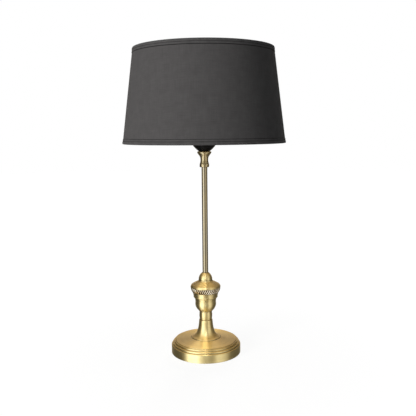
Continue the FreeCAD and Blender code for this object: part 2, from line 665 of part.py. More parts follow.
def grub_hole():
    """The drilled hole of the grub screw, from the stem's surface outwards."""
    middle = UP * (CUP_RING_BASE + STEM_SEAT_ABOVE / 2)
    way = bearing(GRUB_BEARING)
    outside = CUP_RING_RADIUS + 2 * CUP_RING_SWELL
    return rod(GRUB_RADIUS + PLUG_GAP, middle + way * STEM_RADIUS, middle + way * outside)


def cup_ring():
    """Bead under the candle cup, pinned to the stem by a grub screw."""
    base = CUP_RING_BASE
    top = base + CUP_RING_HEIGHT
    hole = TIE_RADIUS + FREE_GAP
    seat = STEM_RADIUS + PLUG_GAP
    outline = Outline(seat, base).line((CUP_RING_RADIUS, base)).bow(CUP_RING_RADIUS, top, CUP_RING_SWELL)
    outline.line((hole, top), (hole, base + STEM_SEAT_ABOVE), (seat, base + STEM_SEAT_ABOVE))
    return outline.turned().cut(grub_hole())


def cup_grub_screw():
    """Small socket screw in the side of the bead."""
    middle = UP * (CUP_RING_BASE + STEM_SEAT_ABOVE / 2)
    way = bearing(GRUB_BEARING)
    inner = middle + way * (STEM_RADIUS + PLUG_GAP)
    outer = middle + way * (CUP_RING_RADIUS + CUP_RING_SWELL + GRUB_HEAD_SHOWN)
    screw = rod(GRUB_RADIUS, inner, outer)
    corner = GRUB_KEY_WIDTH / math.sqrt(3)
    side = UP.cross(way)
    corners = []
    for index in range(7):
        angle = math.radians(TURN / 6 * index)
        corners.append(outer + side * (corner * math.cos(angle)) + UP * (corner * math.sin(angle)))
    socket = Part.Face(Part.makePolygon(corners)).extrude(way * -GRUB_KEY_DEPTH)
    return screw.cut(socket)


def candle_cup():
    """Flaring cup that the lampholder stands in."""
    base = CUP_BASE
    top = base + CUP_HEIGHT
    floor = base + CUP_FLOOR_HEIGHT
    hole = TIE_RADIUS + FREE_GAP
    waist = base + CUP_WAIST_HEIGHT
    rim = top - CUP_RIM_BAND
    outline = Outline(hole, base).line((CUP_FOOT_RADIUS, base), (CUP_FOOT_RADIUS, base + CUP_FOOT_BAND))
    outline.bow(CUP_WAIST_RADIUS, waist, -CUP_WAIST_HOLLOW)
    outline.curve((CUP_WAIST_RADIUS + CUP_FLARE_PULL_RUN, waist + CUP_FLARE_PULL_RISE),
                  (CUP_RIM_RADIUS - CUP_RIM_PULL_RUN, rim - CUP_RIM_PULL_DROP), (CUP_RIM_RADIUS, rim))
    outline.bow(CUP_RIM_RADIUS, top - CUP_RIM_CHAMFER, CUP_RIM_SWELL)
    outline.line((CUP_RIM_RADIUS - CUP_RIM_CHAMFER, top), (CUP_MOUTH_RADIUS, top))
    outline.line((CUP_MOUTH_RADIUS - CUP_MOUTH_TAPER, top - CUP_MOUTH_DEPTH))
    outline.line((CUP_FLOOR_RADIUS, floor), (hole, floor))
    return outline.turned()


def top_lock_nut():
    """Hexagon nut in the cup, under the lampholder."""
    return hex_nut(TOP_NUT_WIDTH, TOP_NUT_HEIGHT, TOP_NUT_BASE, TIE_RADIUS + RUNNING_GAP)


# ---- lampholder ----

def cap_screw_hole():
    """The hole of the screw that stops the cap from turning on the tie tube."""
    middle = UP * (CAP_BASE + CAP_FOOT_HEIGHT / 2)
    way = bearing(CAP_SCREW_BEARING)
    return rod(CAP_SCREW_RADIUS + PLUG_GAP, middle + way * TIE_RADIUS, middle + way * 2 * CAP_FOOT_RADIUS)


def holder_cap():
    """Black moulded dome of the lampholder, screwed onto the tie tube."""
    base = CAP_BASE
    top = base + CAP_HEIGHT
    foot_top = base + CAP_FOOT_HEIGHT
    skirt = top - CAP_SKIRT_HEIGHT
    hole = TIE_RADIUS + RUNNING_GAP
    neck = hole + CAP_NECK_WALL
    neck_top = base + CAP_NECK_HEIGHT
    floor = neck_top - CAP_FLOOR_DROP
    inner = CAP_SKIRT_RADIUS - CAP_WALL
    outline = Outline(hole, base).line((CAP_FOOT_RADIUS - CAP_FOOT_CHAMFER, base))
    outline.line((CAP_FOOT_RADIUS, base + CAP_FOOT_CHAMFER), (CAP_FOOT_RADIUS, foot_top))
    outline.bow(CAP_SKIRT_RADIUS, skirt, CAP_BULGE)
    outline.line((CAP_SKIRT_RADIUS, top), (inner, top), (inner, skirt + CAP_WALL / 4))
    outline.line((CAP_FOOT_RADIUS - CAP_WALL / 2, floor), (neck, floor), (neck, neck_top), (hole, neck_top))
    return outline.turned().cut(cap_screw_hole())


def cap_lock_screw():
    """Slotted screw in the rear of the cap's foot."""
    middle = UP * (CAP_BASE + CAP_FOOT_HEIGHT / 2)
    way = bearing(CAP_SCREW_BEARING)
    outer = middle + way * (CAP_FOOT_RADIUS - CAP_SCREW_SUNK)
    screw = rod(CAP_SCREW_RADIUS, middle + way * (TIE_RADIUS + PLUG_GAP), outer)
    reach = 2 * CAP_SCREW_RADIUS
    slot_corner = FreeCAD.Vector(-CAP_SCREW_SLOT_DEPTH, -reach, -CAP_SCREW_SLOT / 2)
    slot = Part.makeBox(CAP_SCREW_SLOT_DEPTH + OVERCUT, 2 * reach, CAP_SCREW_SLOT, slot_corner)
    slot.rotate(FreeCAD.Vector(), UP, CAP_SCREW_BEARING)
    slot.translate(outer)
    return screw.cut(slot)


def drill_rivets(body, low, high):
    """The body with the holes of both rivets between two heights."""
    for side in (-1, 1):
        place = FreeCAD.Vector(0, side * RIVET_OFFSET, low)
        body = body.cut(Part.makeCylinder(RIVET_RADIUS + PLUG_GAP, high - low, place))
    return body


def holder_body():
    """Flanged barrel with an outside thread for the clamp ring."""
    pocket = BLOCK_RADIUS + PLUG_GAP
    throat = BLOCK_BOSS_RADIUS + PLUG_GAP
    outline = Outline(pocket, FLANGE_BASE).line((FLANGE_RADIUS, FLANGE_BASE), (FLANGE_RADIUS, BARREL_BASE))
    outline.line((BARREL_RADIUS, BARREL_BASE), (BARREL_RADIUS, BARREL_TOP - BARREL_CHAMFER))
    outline.line((BARREL_RADIUS - BARREL_CHAMFER, BARREL_TOP), (BARREL_BORE_RADIUS, BARREL_TOP))
    outline.line((BARREL_BORE_RADIUS, WEB_TOP), (throat, WEB_TOP))
    outline.line((throat, WEB_BASE), (pocket, WEB_BASE))
    turns = int((BARREL_HEIGHT - 2 * BARREL_THREAD_PITCH) / BARREL_THREAD_PITCH)
    root = BARREL_RADIUS - BARREL_THREAD_DEPTH / 2
    crest = BARREL_RADIUS + BARREL_THREAD_DEPTH
    thread_base = BARREL_BASE + BARREL_THREAD_PITCH
    width = BARREL_THREAD_PITCH * BARREL_THREAD_SHARE
    thread = ridge(root, crest, width, BARREL_THREAD_PITCH, turns, thread_base)
    body = outline.turned().fuse(thread)
    return drill_rivets(body, WEB_BASE, WEB_TOP)


def terminal_places():
    """The two terminals, left and right of the axis on the block's underside."""
    return [FreeCAD.Vector(side * TERMINAL_OFFSET, 0, FLANGE_BASE - BLOCK_BELOW) for side in (-1, 1)]


def terminal_block():
    """Ceramic block that carries the contacts, with a boss through the web."""
    bottom = FLANGE_BASE - BLOCK_BELOW
    outline = Outline(0, bottom).line((BLOCK_RADIUS, bottom), (BLOCK_RADIUS, WEB_BASE))
    outline.line((BLOCK_BOSS_RADIUS, WEB_BASE), (BLOCK_BOSS_RADIUS, BLOCK_TOP), (0, BLOCK_TOP))
    block = outline.turned()
    for place in terminal_places():
        hole = Part.makeCylinder(TERMINAL_RADIUS + PLUG_GAP, TERMINAL_LENGTH, place)
        block = block.cut(hole)
    return drill_rivets(block, bottom, WEB_BASE)


def terminal_screws():
    """Two slotted brass screws, heads downwards."""
    screws = []
    for place in terminal_places():
        head_base = place - UP * TERMINAL_HEAD_HEIGHT
        shank = Part.makeCylinder(TERMINAL_RADIUS, TERMINAL_LENGTH, place)
        head = Part.makeCylinder(TERMINAL_HEAD_RADIUS, TERMINAL_HEAD_HEIGHT, head_base)
        corner = head_base + FreeCAD.Vector(-TERMINAL_HEAD_RADIUS, -TERMINAL_SLOT / 2, 0)
        slot = Part.makeBox(2 * TERMINAL_HEAD_RADIUS, TERMINAL_SLOT, TERMINAL_SLOT, corner)
        screws.append(head.fuse(shank).cut(slot))
    return Part.makeCompound(screws)


def screw_shell():
    """Thin brass liner with an inside screw ridge for the bulb."""
    inner = SHELL_INNER_RADIUS
    floor = WEB_TOP + SHELL_WALL
    top = WEB_TOP + SHELL_HEIGHT
    outline = Outline(SHELL_LIP_RADIUS, WEB_TOP).line((SHELL_RADIUS, WEB_TOP), (SHELL_RADIUS, top))
    outline.line((inner, top), (inner, floor), (SHELL_LIP_RADIUS, floor))
    thread = ridge(inner + SCREW_ROOT, LINER_CREST_RADIUS, SCREW_RIDGE_WIDTH, SCREW_PITCH,
                   LINER_TURNS, LINER_THREAD_BASE)
    return drill_rivets(outline.turned().fuse(thread), WEB_TOP - OVERCUT, floor + OVERCUT)


def shell_rivets():
    """Two rivets that hold the liner and the block to the web and carry the side contact."""
    bottom = FLANGE_BASE - BLOCK_BELOW
    length = WEB_TOP + SHELL_WALL - bottom
    rivets = []
    for side in (-1, 1):
        place = FreeCAD.Vector(0, side * RIVET_OFFSET, bottom)
        shank = Part.makeCylinder(RIVET_RADIUS, length, place)
        foot_base = place - UP * RIVET_FOOT_HEIGHT
        foot = Part.makeCylinder(RIVET_RADIUS + RIVET_FOOT_EXTRA, RIVET_FOOT_HEIGHT, foot_base)
        head = Part.makeCylinder(RIVET_RADIUS + RIVET_HEAD_EXTRA, SHELL_WALL, place + UP * length)
        rivets.append(foot.fuse([shank, head]))
    return Part.makeCompound(rivets)


def centre_contact():
    """Bronze strip on the block's boss, folded back over itself under the bulb's tip."""
    low = BLOCK_TOP
    high = low + CONTACT_RISE + CONTACT_THICKNESS
    bend = CONTACT_FOOT - CONTACT_RISE / 2
    outline = Outline(-CONTACT_FOOT, low).line((bend, low)).bow(bend, high, (high - low) / 2)
    outline.line((-CONTACT_END, high), (-CONTACT_END, high - CONTACT_THICKNESS))
    outline.line((bend, high - CONTACT_THICKNESS))
    outline.bow(bend, low + CONTACT_THICKNESS, CONTACT_THICKNESS - (high - low) / 2)
    outline.line((-CONTACT_FOOT, low + CONTACT_THICKNESS))
    strip = outline.face().extrude(FreeCAD.Vector(0, CONTACT_WIDTH, 0))
    strip.translate(FreeCAD.Vector(0, -CONTACT_WIDTH / 2, 0))
    return strip


# ---- bulb ----

def bulb_tip():
    """Domed centre contact of the bulb."""
    outline = Outline(0, BULB_BASE).dome(TIP_RADIUS, BULB_BASE + TIP_HEIGHT / 2)
    return outline.line((TIP_RADIUS, BULB_BASE + TIP_HEIGHT), (0, BULB_BASE + TIP_HEIGHT)).turned()


def bulb_insulator():
    """Dark glass cone between the tip and the screw cap."""
    base = INSULATOR_BASE
    top = base + INSULATOR_HEIGHT
    hole = TIP_RADIUS + PLUG_GAP
    tip_top = BULB_BASE + TIP_HEIGHT
    outline = Outline(hole, base).line((hole + INSULATOR_SWELL, base))
    outline.bow(INSULATOR_RADIUS, top, INSULATOR_SWELL)
    outline.line((hole / 2, top), (hole / 2, tip_top), (hole, tip_top))
    return outline.turned()


def bulb_cap():
    """Screw cap of the bulb, with an outside ridge and a plain skirt."""
    base = BULB_CAP_BASE
    top = base + BULB_CAP_HEIGHT
    skirt = top - BULB_SKIRT_HEIGHT
    wall = SCREW_CORE_RADIUS
    inner = wall - BULB_CAP_WALL
    lip = inner - BULB_CAP_LIP
    chamfer = BULB_CAP_CHAMFER
    seat = GLASS_NECK_RADIUS + PLUG_GAP
    seat_base = GLASS_BASE - PLUG_GAP
    outline = Outline(lip, base).line((wall - chamfer, base), (wall, base + chamfer), (wall, skirt))
    outline.line((BULB_SKIRT_RADIUS, skirt + chamfer), (BULB_SKIRT_RADIUS, top), (seat, top))
    outline.line((seat, seat_base), (inner, seat_base), (inner, base + 2 * chamfer), (lip, base + chamfer))
    thread = ridge(wall - SCREW_ROOT, SCREW_CREST_RADIUS, SCREW_RIDGE_WIDTH, SCREW_PITCH,
                   BULB_TURNS, BULB_THREAD_BASE)
    return outline.turned().fuse(thread)


def bulb_glass():
    """Clear candle-shaped balloon, hollow and open at the neck."""
    base = GLASS_BASE
    top = base + GLASS_HEIGHT
    wall = GLASS_WALL
    tip = GLASS_TIP_RADIUS
    neck = GLASS_NECK_RADIUS
    belly = GLASS_RADIUS
    spread = tip + GLASS_TIP_SPREAD
    seat = base + GLASS_SEAT
    neck_pull = base + GLASS_NECK_PULL
    belly_pull = base + GLASS_BELLY_PULL
    widest = base + GLASS_BELLY_HEIGHT
    tip_base = top - tip
    taper_pull = widest + (tip_base - widest) * GLASS_TAPER_PULL
    tip_pull = widest + (tip_base - widest) * GLASS_TIP_PULL
    outline = Outline(neck - wall, base).line((neck, base), (neck, seat))
    outline.curve((neck, neck_pull), (belly, belly_pull), (belly, widest))
    outline.curve((belly, taper_pull), (spread, tip_pull), (tip, tip_base))
    outline.dome(0, top).line((0, top - wall)).dome(tip - wall, tip_base, -1)
    outline.curve((spread - wall, tip_pull), (belly - wall, taper_pull), (belly - wall, widest))
    outline.curve((belly - wall, belly_pull), (neck - wall, neck_pull), (neck - wall, seat))
    return outline.turned()


def bulb_mount():
    """Pressed glass stem inside the bulb's neck."""
    base = GLASS_BASE + PLUG_GAP
    top = base + MOUNT_HEIGHT
    rim = MOUNT_RIM
    flare_top = base + MOUNT_FLARE_HEIGHT
    outline = Outline(0, base).line((MOUNT_FLARE_RADIUS, base), (MOUNT_FLARE_RADIUS, base + rim))
    outline.curve((MOUNT_RADIUS + rim, base + 2 * rim), (MOUNT_RADIUS, (base + flare_top) / 2 + rim),
                  (MOUNT_RADIUS, flare_top))
    outline.line((MOUNT_RADIUS, top - rim)).bow(MOUNT_RADIUS - rim, top, rim * QUARTER_RISE).line((0, top))
    return outline.turned()


def filament_ends(index):
    """Foot and head of one filament stick."""
    foot_height = GLASS_BASE + MOUNT_HEIGHT + FILAMENT_RISE
    way = bearing(FILAMENT_BEARING + TURN * index / FILAMENT_COUNT)
    foot = way * FILAMENT_FOOT_SPREAD + UP * foot_height
    head = way * FILAMENT_HEAD_SPREAD + UP * (foot_height + FILAMENT_LENGTH)
    return foot, head


def bulb_filaments():
    """Straight filament sticks in a slim pyramid."""
    sticks = []
    for index in range(FILAMENT_COUNT):
        foot, head = filament_ends(index)
        sticks.append(rod(FILAMENT_RADIUS, foot, head))
    return Part.makeCompound(sticks)


def bulb_supports():
    """Wires from the glass stem to both ends of every filament."""
    mast_base = GLASS_BASE + MOUNT_HEIGHT + PLUG_GAP
    mast_top = filament_ends(0)[1].z + SUPPORT_RISE
    pieces = []
    for index in range(FILAMENT_COUNT):
        foot, head = filament_ends(index)
        along = (head - foot).normalize()
        below = foot - along * SUPPORT_RADIUS
        above = head + along * SUPPORT_RADIUS
        pieces.append(rod(SUPPORT_RADIUS, UP * (mast_base + SUPPORT_RADIUS), below))
        pieces.append(rod(SUPPORT_RADIUS, above, UP * mast_top))
        pieces.append(Part.makeSphere(SUPPORT_BEAD, above))
        pieces.append(Part.makeSphere(SUPPORT_BEAD, below))
    mast = Part.makeCylinder(SUPPORT_RADIUS, mast_top - mast_base, UP * mast_base)
    return mast.fuse(pieces).cut(bulb_filaments())


# ---- clamp ring and shade carrier ----

def clamp_ring():
    """Ribbed ring that holds the carrier down on the flange."""
    crest = CLAMP_RADIUS
    outline = lobed_wire(CLAMP_RIBS, crest - CLAMP_RIB_DEPTH, crest, CLAMP_BASE, 0)
    body = Part.Face(outline).extrude(UP * CLAMP_HEIGHT)
    bore = BARREL_RADIUS + BARREL_THREAD_DEPTH + MOVING_GAP
    return body.cut(Part.makeCylinder(bore, CLAMP_HEIGHT, UP * CLAMP_BASE))


def carrier_ring():
    """Flat steel ring in the middle of the shade's spider."""
    return ring(CARRIER_BORE_RADIUS, CARRIER_RADIUS, CARRIER_BASE, CARRIER_BASE + CARRIER_THICKNESS)


def slope():
    """Unit vectors up the shade's wall and inwards, square to it."""
    up_wall = FreeCAD.Vector(SHADE_TOP_RADIUS - SHADE_BOTTOM_RADIUS, 0, SHADE_HEIGHT).normalize()
    return up_wall, FreeCAD.Vector(-up_wall.z, 0, up_wall.x)


def wall_length():
    """Length of the shade's wall from rim to rim."""
    return math.hypot(SHADE_BOTTOM_RADIUS - SHADE_TOP_RADIUS, SHADE_HEIGHT)


def on_wall(along, inward):
    """(radius, height) of a place on the shade's wall, counted from its outer lower edge."""
    up_wall, inside = slope()
    place = point(SHADE_BOTTOM_RADIUS, SHADE_BASE) + up_wall * along + inside * inward
    return place.x, place.z


def layer(start, end, outer, inner):
    """One conical layer of the shade between two places along the wall."""
    outline = Outline(*on_wall(start, outer))
    return outline.line(on_wall(start, inner), on_wall(end, inner), on_wall(end, outer)).turned()


FABRIC_OUT = TAPE_THICKNESS + SKIN_GAP
LINING_OUT = FABRIC_OUT + FABRIC_THICKNESS + SKIN_GAP
HOOP_OUT = LINING_OUT + LINING_THICKNESS + SKIN_GAP
TAPE_IN = HOOP_OUT + 2 * HOOP_RADIUS + SKIN_GAP
HOOP_ALONG = TAPE_THICKNESS + SKIN_GAP + HOOP_RADIUS


def hoop_place(upper):
    """(radius, height) of the middle of the upper or lower hoop's wire."""
    along = wall_length() - HOOP_ALONG if upper else HOOP_ALONG
    return on_wall(along, HOOP_OUT + HOOP_RADIUS)


def hoop(upper):
    """Round wire ring inside the shade's rim."""
    radius, height = hoop_place(upper)
    return Part.makeTorus(radius, HOOP_RADIUS, UP * height)


def arm_bearings():
    """The angles of the spider wires, evenly spaced."""
    return [ARM_BEARING + TURN * index / ARM_COUNT for index in range(ARM_COUNT)]


def arm(degrees):
    """One spider wire: level from the carrier, then down to the lower hoop."""
    level = CARRIER_BASE - ARM_RADIUS + WELD_DEPTH / 2
    inner = point(FLANGE_RADIUS + MOVING_GAP, level)
    corner = point(ARM_LEVEL_REACH, level)
    hoop_radius, hoop_height = hoop_place(False)
    towards = (point(hoop_radius, hoop_height) - corner).normalize()
    reach = corner.distanceToPoint(point(hoop_radius, hoop_height)) - HOOP_RADIUS + WELD_DEPTH
    outer = corner + towards * reach
    turn = math.acos(towards.x)
    setback = ARM_BEND_RADIUS * math.tan(turn / 2)
    bend_start = corner - FreeCAD.Vector(setback, 0, 0)
    bend_end = corner + towards * setback
    inward = (FreeCAD.Vector(-1, 0, 0) + towards).normalize()
    centre = corner + inward * (ARM_BEND_RADIUS / math.cos(turn / 2))
    bend_middle = centre - inward * ARM_BEND_RADIUS
    path = Part.Wire([Part.LineSegment(inner, bend_start).toShape(),
                      Part.Arc(bend_start, bend_middle, bend_end).toShape(),
                      Part.LineSegment(bend_end, outer).toShape()])
    section = Part.Wire(Part.makeCircle(ARM_RADIUS, inner, FreeCAD.Vector(1, 0, 0)))
    wire = path.makePipeShell([section], True, True)
    wire.rotate(FreeCAD.Vector(), UP, degrees)
    return wire


def spider_arms():
    """The wires that carry the shade."""
    return Part.makeCompound([arm(degrees) for degrees in arm_bearings()])


def shade_fabric():
    """Tapered drum of fabric."""
    edge = TAPE_THICKNESS + SKIN_GAP
    return layer(edge, wall_length() - edge, FABRIC_OUT, FABRIC_OUT + FABRIC_THICKNESS)


def shade_lining():
    """Stiff sheet behind the fabric."""
    edge = TAPE_THICKNESS + SKIN_GAP
    return layer(edge, wall_length() - edge, LINING_OUT, LINING_OUT + LINING_THICKNESS)


def rim_tape(upper):
    """Tape folded over a rim, round the fabric, the lining and the hoop."""
    end = wall_length() if upper else 0
    step = -1 if upper else 1
    fold = end + step * TAPE_THICKNESS
    outer_edge = end + step * TAPE_WIDTH
    inner_edge = end + step * (HOOP_ALONG + HOOP_RADIUS + TAPE_THICKNESS)
    outline = Outline(*on_wall(end, 0)).line(on_wall(outer_edge, 0), on_wall(outer_edge, TAPE_THICKNESS))
    outline.line(on_wall(fold, TAPE_THICKNESS), on_wall(fold, TAPE_IN), on_wall(inner_edge, TAPE_IN))
    outline.line(on_wall(inner_edge, TAPE_IN + TAPE_THICKNESS), on_wall(end, TAPE_IN + TAPE_THICKNESS))
    return outline.turned()


def bottom_tape():
    """Lower tape, with a slit where each spider wire comes through."""
    tape = rim_tape(False)
    hoop_radius, hoop_height = hoop_place(False)
    half = ARM_RADIUS + PLUG_GAP
    inner = hoop_radius - 5 * HOOP_RADIUS
    for degrees in arm_bearings():
        slit_corner = FreeCAD.Vector(inner, -half, hoop_height - half)
        slit = Part.makeBox(4 * (HOOP_RADIUS + TAPE_THICKNESS), 2 * half, 4 * half, slit_corner)
        slit.rotate(FreeCAD.Vector(), UP, degrees)
        tape = tape.cut(slit)
    return tape


def write(name, shape):
    """Save one sub-part under its name."""
    shape.exportStep(os.path.join("parts", name + ".step"))


os.makedirs("parts", exist_ok=True)
write("foot_shell", foot_shell())
write("foot_weight", foot_weight())
write("foot_pad", foot_pad())
write("cord_bushing", cord_bushing())
write("foot_washer", foot_washer())
write("foot_nut", foot_nut())
write("tie_tube", tie_tube())
write("pedestal", pedestal())
write("neck_ring", neck_ring())
write("urn_bowl", urn_bowl())
write("fluted_ring", fluted_ring())
write("urn_shoulder", urn_shoulder())
write("stem_collar", stem_collar())
write("stem_tube", stem_tube())
write("cup_ring", cup_ring())
write("cup_grub_screw", cup_grub_screw())
write("candle_cup", candle_cup())
write("top_lock_nut", top_lock_nut())
write("holder_cap", holder_cap())
write("cap_lock_screw", cap_lock_screw())
write("holder_body", holder_body())
write("terminal_block", terminal_block())
write("terminal_screws", terminal_screws())
write("screw_shell", screw_shell())
write("shell_rivets", shell_rivets())
write("centre_contact", centre_contact())
write("bulb_tip", bulb_tip())
write("bulb_insulator", bulb_insulator())
write("bulb_cap", bulb_cap())
write("bulb_glass", bulb_glass())
write("bulb_mount", bulb_mount())
write("bulb_filaments", bulb_filaments())
write("bulb_supports", bulb_supports())
write("clamp_ring", clamp_ring())
write("carrier_ring", carrier_ring())
write("spider_arms", spider_arms())
write("top_hoop", hoop(True))
write("bottom_hoop", hoop(False))
write("shade_fabric", shade_fabric())
write("shade_lining", shade_lining())
write("top_tape", rim_tape(True))
write("bottom_tape", bottom_tape())
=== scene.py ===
import math

import bmesh
import bpy
import numpy as np
from bpy.props import FloatProperty, FloatVectorProperty, IntProperty, PointerProperty
from mathutils import Matrix, Vector


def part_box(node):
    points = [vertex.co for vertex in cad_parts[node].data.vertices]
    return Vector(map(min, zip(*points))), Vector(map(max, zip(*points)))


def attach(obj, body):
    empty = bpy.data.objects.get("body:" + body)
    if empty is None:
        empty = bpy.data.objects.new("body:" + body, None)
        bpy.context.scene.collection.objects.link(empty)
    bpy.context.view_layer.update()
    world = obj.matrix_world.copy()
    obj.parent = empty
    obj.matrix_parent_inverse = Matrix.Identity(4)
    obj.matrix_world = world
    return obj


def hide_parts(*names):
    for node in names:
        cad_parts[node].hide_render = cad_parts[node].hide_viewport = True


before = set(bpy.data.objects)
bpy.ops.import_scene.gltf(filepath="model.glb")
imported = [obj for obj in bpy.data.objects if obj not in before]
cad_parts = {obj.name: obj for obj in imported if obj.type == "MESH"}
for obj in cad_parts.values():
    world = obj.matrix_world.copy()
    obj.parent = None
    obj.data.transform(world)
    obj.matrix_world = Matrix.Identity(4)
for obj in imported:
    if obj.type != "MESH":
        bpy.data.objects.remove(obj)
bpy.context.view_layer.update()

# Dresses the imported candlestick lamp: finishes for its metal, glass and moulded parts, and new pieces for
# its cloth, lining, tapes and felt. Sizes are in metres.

bl_info = {
    "name": "Candlestick lamp dressing",
    "version": (1, 0, 0),
    "blender": (4, 5, 0),
    "location": "View3D > Sidebar > Lamp",
    "description": "Finishes and soft pieces for a turned brass candlestick lamp with a drum shade",
    "category": "Object",
}

# Angles are radians, from the right round by the back.
MM = 0.001
TURN = 2 * math.pi
BACK = math.pi / 2
ARM_BEARINGS = np.radians([90.0, 210.0, 330.0])

# The flutes round the ring, and the angle by which each leans from its foot to its head.
FLUTES = 44.0
FLUTE_LEAN = math.radians(9.0)

# Circles that darken with soiling and painted shade in the crevice, as (radius, height, spread): the steps of
# the foot and of the urn.
FOOT_GROOVES = ((0.0744, 0.0200, 0.0010), (0.0706, 0.0242, 0.0010), (0.0675, 0.0284, 0.0008))
URN_GROOVE = (0.0252, 0.1260, 0.0010)
# How far the soiling and painted shade spread from the joint under each piece of the column, from the foot
# up.
JOINT_SPREADS = {"pedestal": 0.0010, "neck_ring": 0.0009, "urn_bowl": 0.0010, "fluted_ring": 0.0014,
                 "urn_shoulder": 0.0012, "stem_collar": 0.0012, "cup_ring": 0.0010, "candle_cup": 0.0010}
TUBE_RADIUS = 0.0064
FINE_LINES, COARSE_LINES = 2600.0, 420.0    # tool marks a metre

# Air between two layers that lie on each other, the lining's thickness, and half an arm's slit in the tape.
CLOTH_GAP, LINING_GAP = 0.05 * MM, 0.03 * MM
LINING_DEPTH = 0.35 * MM
HALF_SLIT = 2.1 * MM
# How far the cloth ripples, and how far a tape gathers, wavers along its edge and rises over its own end.
CLOTH_RIPPLE = 0.12 * MM
TAPE_GATHER, TAPE_WAVER, TAPE_LAP = 0.036 * MM, 0.12 * MM, 0.5 * MM
FELT_CORNER, FELT_FRAY = 0.9 * MM, 0.1 * MM

FLOOR_LEVEL, FLOOR_RADIUS = -0.0002, 6.0
WHITE = (1.0, 1.0, 1.0, 1.0)


# ---- shader building ----

def add(tree, kind, inputs=None, **settings):
    """Adds a shader node, sets its options, and links or sets each input by name or number."""
    made = tree.nodes.new("ShaderNode" + kind)
    for key, value in settings.items():
        setattr(made, key, value)
    for key, value in (inputs or {}).items():
        if isinstance(value, bpy.types.NodeSocket):
            tree.links.new(value, made.inputs[key])
        else:
            made.inputs[key].default_value = value
    return made


def calc(tree, operation, *values, clamp=False):
    """One Math node on these values, returning its result."""
    return add(tree, "Math", dict(enumerate(values)), operation=operation, use_clamp=clamp).outputs[0]


def times(tree, first, second):
    """The product of two values."""
    return calc(tree, "MULTIPLY", first, second)


def plus(tree, first, second, clamp=False):
    """The sum of two values."""
    return calc(tree, "ADD", first, second, clamp=clamp)


def parts_of(tree, vector):
    """The three parts of a vector."""
    return add(tree, "SeparateXYZ", {0: vector}).outputs[:]


def vector_of(tree, *parts):
    """A vector of these parts."""
    return add(tree, "CombineXYZ", dict(enumerate(parts))).outputs[0]


def length_of(tree, vector):
    """The length of a vector."""
    return add(tree, "VectorMath", {0: vector}, operation="LENGTH").outputs["Value"]


def mixed(tree, share, first, second):
    """Colour between first and second: first at share 0, second at share 1."""
    return add(tree, "Mix", {0: share, 6: first, 7: second}, data_type="RGBA").outputs[2]


def either(tree, share, first, second):
    """Shader between first and second: first at share 0, second at share 1."""
    return add(tree, "MixShader", {0: share, 1: first, 2: second}).outputs[0]


def faded(tree, value, low, high, out_low=0.0, out_high=1.0):
    """Value read from low to high as a smooth change from out_low to out_high."""
    inputs = {"Value": value, "From Min": low, "From Max": high, "To Min": out_low, "To Max": out_high}
    return add(tree, "MapRange", inputs, interpolation_type="SMOOTHSTEP").outputs[0]


def scaled(tree, vector, factors):
    """Vector times factors, part by part."""
    return add(tree, "VectorMath", {0: vector, 1: factors}, operation="MULTIPLY").outputs[0]


def noise(tree, vector, scale, detail=2.0, roughness=0.5):
    """Soft noise between 0 and 1 at scale features a metre."""
    inputs = {"Vector": vector, "Scale": scale, "Detail": detail, "Roughness": roughness}
    return add(tree, "TexNoise", inputs).outputs[0]


def opaque(colour, factor=1.0, lift=0.0):
    """Three colour parts times factor and raised by lift, with a full fourth one."""
    return (*(factor * part + lift for part in colour), 1.0)


def group(name, inputs, outputs):
    """A new node group. Inputs with a default are numbers and the others vectors, and outputs are numbers.
    Returns the group, its inputs and its outputs."""
    tree = bpy.data.node_groups.new(name, "ShaderNodeTree")
    for title, default in inputs.items():
        kind = "NodeSocketVector" if default is None else "NodeSocketFloat"
        socket = tree.interface.new_socket(title, in_out="INPUT", socket_type=kind)
        if default is not None:
            socket.default_value = default
    for title in outputs:
        tree.interface.new_socket(title, in_out="OUTPUT", socket_type="NodeSocketFloat")
    return tree, tree.nodes.new("NodeGroupInput").outputs, tree.nodes.new("NodeGroupOutput").inputs


def placed(tree, title, place, **values):
    """Places the shared effect of that title, which is built the first time, and returns its outputs. Its
    first input is the place at which it is read."""
    shared = bpy.data.node_groups.get(title) or EFFECTS[title](title)
    return add(tree, "Group", {0: place, **values}, node_tree=shared).outputs


def axis_parts(tree, position):
    """Distance from the lamp's axis, height, and how far the position lies to the right and to the rear."""
    right, rear, height = parts_of(tree, position)
    across = calc(tree, "SQRT", plus(tree, times(tree, right, right), times(tree, rear, rear)))
    return across, height, right, rear


def turning_lines(name):
    """Tool marks of the lathe: noise read at (radius, height), so it runs round the axis, with a slow drift
    added by the direction from the axis so that no line is the same all the way round."""
    tree, given, result = group(name, {"Position": None, "Lines": 900.0}, ("Height",))
    across, height, right, rear = axis_parts(tree, given["Position"])
    east, north = calc(tree, "DIVIDE", right, across), calc(tree, "DIVIDE", rear, across)
    lines = scaled(tree, vector_of(tree, across, height), given["Lines"])
    drift = vector_of(tree, times(tree, east, 0.5), times(tree, north, 0.5), times(tree, north, 0.9))
    moved = add(tree, "VectorMath", {0: lines, 1: drift}, operation="ADD").outputs[0]
    tree.links.new(noise(tree, moved, 1.0, 3.0, 0.6), result["Height"])
    return tree


def drawn_lines(name):
    """Marks of the die on a drawn tube: noise that is squeezed across the tube and stretched along it."""
    tree, given, result = group(name, {"Position": None, "Lines": 900.0}, ("Height",))
    lines = given["Lines"]
    squeezed = scaled(tree, given["Position"], vector_of(tree, lines, lines, times(tree, lines, 0.012)))
    tree.links.new(noise(tree, squeezed, 1.0, 2.0, 0.5), result["Height"])
    return tree


